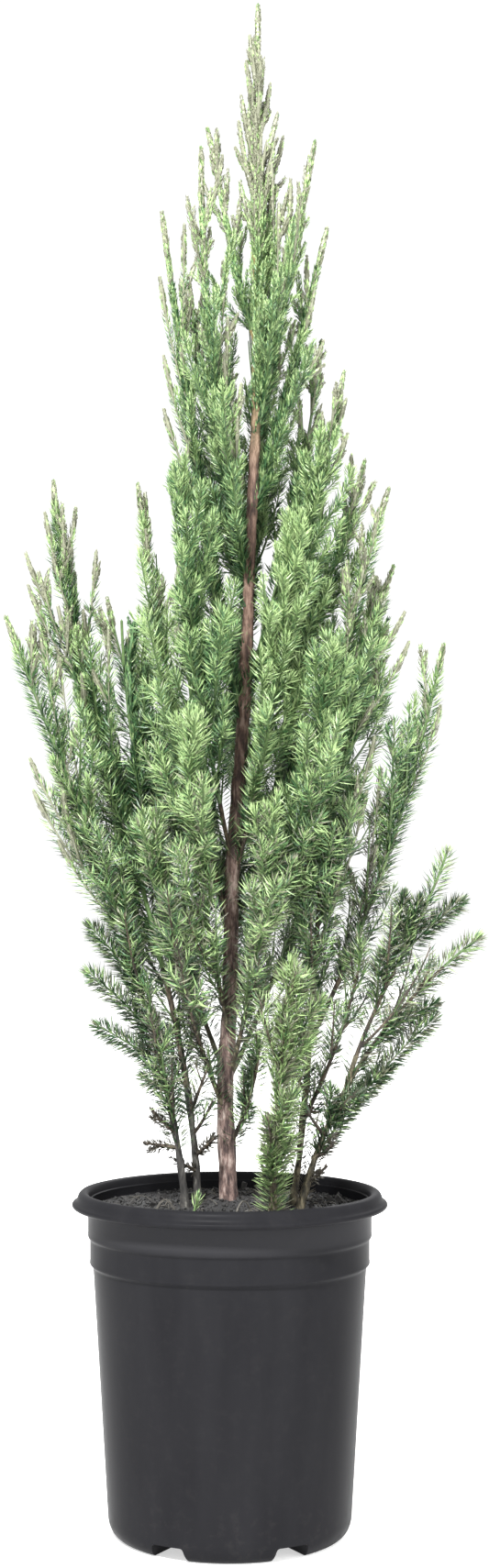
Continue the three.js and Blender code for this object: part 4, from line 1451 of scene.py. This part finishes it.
def clothe_axis(plume, draw):
    """The plume's own stem, brown below and green above, with needles that close up towards its tip."""
    shares = np.linspace(max(0, plume.bare - 0.01), 1, max(8, int(plume.length / 7)))
    points = plume.axis.at(shares)
    radii = plume.radius_at(shares)
    change = max(1, int((points[:-1, 2] < BROWN_AXES.get(plume.name, BROWN_BELOW)).sum()) - 1)
    BROWN_TWIGS.add(*tube(points[: change + 1], radii[: change + 1], 6))
    cord_radii = 1.4 * plume.cords * smooth_rise(shares, 0.68, 0.95) * (1 - 0.4 * shares)
    GREEN_TWIGS.add(*tube(points[change:], np.maximum(radii, cord_radii)[change:], 6))
    for part in range(AXIS_PIECES):
        low = lerp(plume.clad, 1, part / AXIS_PIECES)
        high = lerp(plume.clad, 1, (part + 1) / AXIS_PIECES)
        middle = (part + 0.5) / AXIS_PIECES
        cords = cords_of(plume, middle, plume.axis.at(high))
        open_end = part < AXIS_PIECES - 1
        greens = (plume.green + 1.6 * middle - 0.5, plume.tip_green, plume.grey)
        stem = plume.radius_at(middle)
        stretch = plume.axis.section(low, high)
        for _ in range(AXIS_COATS.get(plume.name, USUAL_COATS)):
            needles_on(stretch, 0, cords, greens, draw, open_end, stem, True)


def clothe_twig(plume, twig, draw):
    curve = twig.curve
    low = float(curve.at(0)[2])
    cords = cords_of(plume, twig.height, curve.at(CORD_PLACE))
    shares = np.linspace(0, 1, max(4, int(curve.length / 7)))
    cord = cord_along(cords, curve.length * (1 - shares))
    cord_radii = 1.25 * cord * smooth_rise(1.04 - shares, -0.2, 12 / curve.length)
    radii = np.maximum(lerp(twig.thickness, 0.35, shares), cord_radii)
    heap, sides = GREEN_TWIGS, 3
    if cords[1] > 0.5:
        heap, sides = NEEDLES[round(plume.tip_green)], 5
    elif twig.thickness > 0.9 and low < BROWN_BELOW:
        heap = BROWN_TWIGS
    heap.add(*tube(curve.at(shares), radii, sides))
    greens = (twig.green + 0.8 * twig.height, plume.tip_green, plume.grey)
    dry = 0.4 * (1 - smooth_rise(twig.height, 0, 0.3)) * (1 - smooth_rise(low, 230, 400))
    if draw.random() < dry:
        greens = None
    for _ in range(twig.coats):
        needles_on(curve, 1.5, cords, greens, draw, shown=twig.shown)


def side_tips(plume):
    """The plume's further tips, each a twig of its own with twiglets."""
    for share, *tip in SIDE_TIPS.get(plume.name, ()):
        start = plume.axis.at(share)
        low = tip[2] < LOW_TIPS_BELOW
        bend = start + 0.5 * (np.array(tip) - start) * (LOW_TIP_BEND if low else TIP_BEND)
        height = max(share, 0.8) if plume.cords and not low else 0.4
        green = plume.green - LOW_TIPS_DARKER * low
        yield Twig(Bend(start, bend, tip), height, green, 0.8, LOW_TIP_COATS if low else 1, True)


def clothe(plume):
    draw = np.random.default_rng(1000 + PLUME_NAMES.index(plume.name))
    clothe_axis(plume, draw)
    shoots = grow(plume)
    for twig in side_tips(plume):
        shoots.extend((twig, *twiglets(plume, twig)))
    for twig in shoots:
        clothe_twig(plume, twig, draw)


def clothe_trunk_top():
    """Needles and short shoots on the young wood of the upper trunk and the foot of the leader."""
    leader = PLUMES["leader"]
    draw = np.random.default_rng(500)
    heights = np.linspace(TRUNK_SHOOTS_FROM, TRUNK_TOP, 6)
    for low, high in zip(heights, heights[1:]):
        young = float(smooth_rise(low, TRUNK_SHOOTS_FROM, TRUNK_TOP))
        greens = (1.8 + young, PALEST, 0)
        cord = 0.2 + 0.3 * young
        stretch = through(*trunk_axis(np.array([low, (low + high) / 2, high])))
        for _ in range(3):
            needles_on(stretch, 0, (cord, cord), greens, draw, True, float(trunk_radius(low)))
    middle = lerp(TRUNK_SHOOTS_FROM, TRUNK_TOP, 0.5)
    trunk = Bend(*trunk_axis(np.array([TRUNK_SHOOTS_FROM, middle, TRUNK_TOP])))
    for axis, (count, top, turns, lengths) in ((trunk, TRUNK_SHOOTS), (leader.axis, LEADER_SHOOTS)):
        for i in range(count):
            share = top * (i + draw.random()) / count
            turn = math.radians(lerp(*turns, draw.random()))
            length = lerp(*lengths, share / top) * draw.uniform(0.6, 1.15)
            curve = twig_curve(axis, share, turn, length, 22, 0.5)
            twig = Twig(curve, 0.25 + 0.3 * share, 2.2 + draw.uniform(-0.8, 0.8), 0.8)
            for shoot in (twig, *twiglets(leader, twig)):
                clothe_twig(leader, shoot, draw)


def clothe_feet():
    """The short sprays on the bare stems, some of them dry, the rough stems, and the sprig in the mix."""
    draw = np.random.default_rng(77)
    shares = np.linspace(0, 1, 7)
    for name, share, tip, green in FOOT_SPRAYS:
        sprays, coats, first, greens = 3, 1, 4, (green, green, GREY_SHARE)
        if green is None:
            sprays, coats, first, greens = 1, 3, 1, None
        start = PLUMES[name].axis.at(share)
        middle = lerp(start, np.array(tip), 0.5) + [0, 0, draw.uniform(-4, 1)]
        stalk = Bend(start, middle, tip)
        BROWN_TWIGS.add(*tube(stalk.at(shares), FOOT_SPRAY_RADIUS * (1 - 0.5 * shares), 5))
        shoots = [stalk]
        for _ in range(sprays):
            turn = 2 * math.pi * draw.random()
            shoots.append(twig_curve(stalk, draw.uniform(0.35, 0.85), turn, draw.uniform(7, 12), 45, 0.2))
        for shoot in shoots:
            BROWN_TWIGS.add(*tube(shoot.at(shares), np.linspace(0.6, 0.3, 7), 3))
            for _ in range(coats):
                needles_on(shoot, first, (0, 0), greens, draw)
    for name, top in ROUGH_FEET.items():
        plume = PLUMES[name]
        for part in range(3):
            stretch = plume.axis.section(lerp(0.04, top, part / 3), lerp(0.04, top, (part + 1) / 3))
            for _ in range(2):
                needles_on(stretch, 0, (0, 0), None, draw, True, plume.radius)
    sprig = Bend(*SPRIG)
    GREEN_TWIGS.add(*tube(sprig.at(np.linspace(0, 1, 5)), np.linspace(0.8, 0.4, 5), 4))
    needles_on(sprig, 3, (0.4, 0.4), (3.6, 4, 0), draw)


def make_foliage():
    clothe_trunk_top()
    clothe_feet()
    for plume in PLUMES.values():
        clothe(plume)
    nodes = [f"{name}_foliage" for name in PLUMES]
    for (name, colour), heap in zip(NEEDLE_GREENS, NEEDLES):
        dress(heap.piece(f"needles_{name}"), leaf_green(f"{name}_green", colour), nodes)
    dress(GREEN_TWIGS.piece("twigs_green"), leaf_green("young_shoot_green", (76, 98, 58)), nodes)
    dress(BROWN_TWIGS.piece("twigs_brown"), TWIG_BARK, nodes)


# Stage


def make_floor():
    nothing_selected()
    bpy.ops.mesh.primitive_circle_add(vertices=96, radius=7, fill_type="NGON", location=(0, 0, -0.0002))
    floor = bpy.context.object
    floor.name = "studio_floor"
    finish = Finish("pale_floor")
    tone = finish.place.noise(3, 2).blend(linear(240, 240, 239), linear(246, 246, 245))
    glow = {"Emission_Color": (1, 1, 1, 1), "Emission_Strength": 0.4}
    floor.data.materials.append(finish.set(Base_Color=tone, Roughness=0.8, **glow))


def soft_light(name, place, target, size, power):
    light = bpy.data.lights.new(name, "AREA")
    light.size = size
    light.energy = power
    lamp = placed(name, light)
    lamp.location = place
    aim = np.asarray(target) - np.asarray(place)
    lamp.rotation_euler = Vector(aim).to_track_quat("-Z", "Y").to_euler()


def make_studio():
    make_floor()
    world = bpy.data.worlds.new("white_room")
    bpy.context.scene.world = world
    world.use_nodes = True
    world.node_tree.nodes["Background"].inputs["Color"].default_value = (1, 1, 1, 1)
    world.node_tree.nodes["Background"].inputs["Strength"].default_value = 0.76
    middle = (0, 0, 0.45)
    soft_light("key", (-0.55, -1.6, 2.3), middle, 0.35, 150)
    soft_light("fill", (1.7, -1.2, 1.1), middle, 1.2, 16)
    soft_light("back", (0.5, 1.8, 1.8), middle, 1.2, 20)
    bpy.context.scene.view_settings.view_transform = "Standard"
    bpy.context.scene.view_settings.exposure = 0.5


def make_camera():
    camera = bpy.data.cameras.new("camera")
    camera.sensor_width = SENSOR
    camera.lens = SENSOR * FOCAL_PIXELS / IMAGE_HEIGHT
    camera.shift_x = (IMAGE_WIDTH / 2 - POT_COLUMN) / IMAGE_HEIGHT
    camera.shift_y = (HORIZON_ROW - IMAGE_HEIGHT / 2) / IMAGE_HEIGHT
    camera.clip_start = 0.01
    holder = placed("camera", camera)
    holder.location = (0, -CAMERA_DISTANCE * MM, CAMERA_HEIGHT * MM)
    holder.rotation_euler = (math.pi / 2, 0, 0)
    bpy.context.scene.camera = holder


RED_BARK = peeling_bark("red_brown_bark", (50, 38, 36), (112, 92, 85), (158, 143, 135), 460)
BROWN_BARK = peeling_bark("brown_bark", (34, 31, 24), (76, 70, 53), (124, 116, 94), 480)
GREY_BARK = peeling_bark("grey_bark", (24, 23, 22), (54, 52, 49), (96, 94, 88), 480)
TWIG_BARK = peeling_bark("twig_bark", (30, 26, 22), (62, 53, 43), (98, 88, 72), 480)

make_studio()
make_camera()
make_pot()
make_soil()
make_wood()
make_foliage()
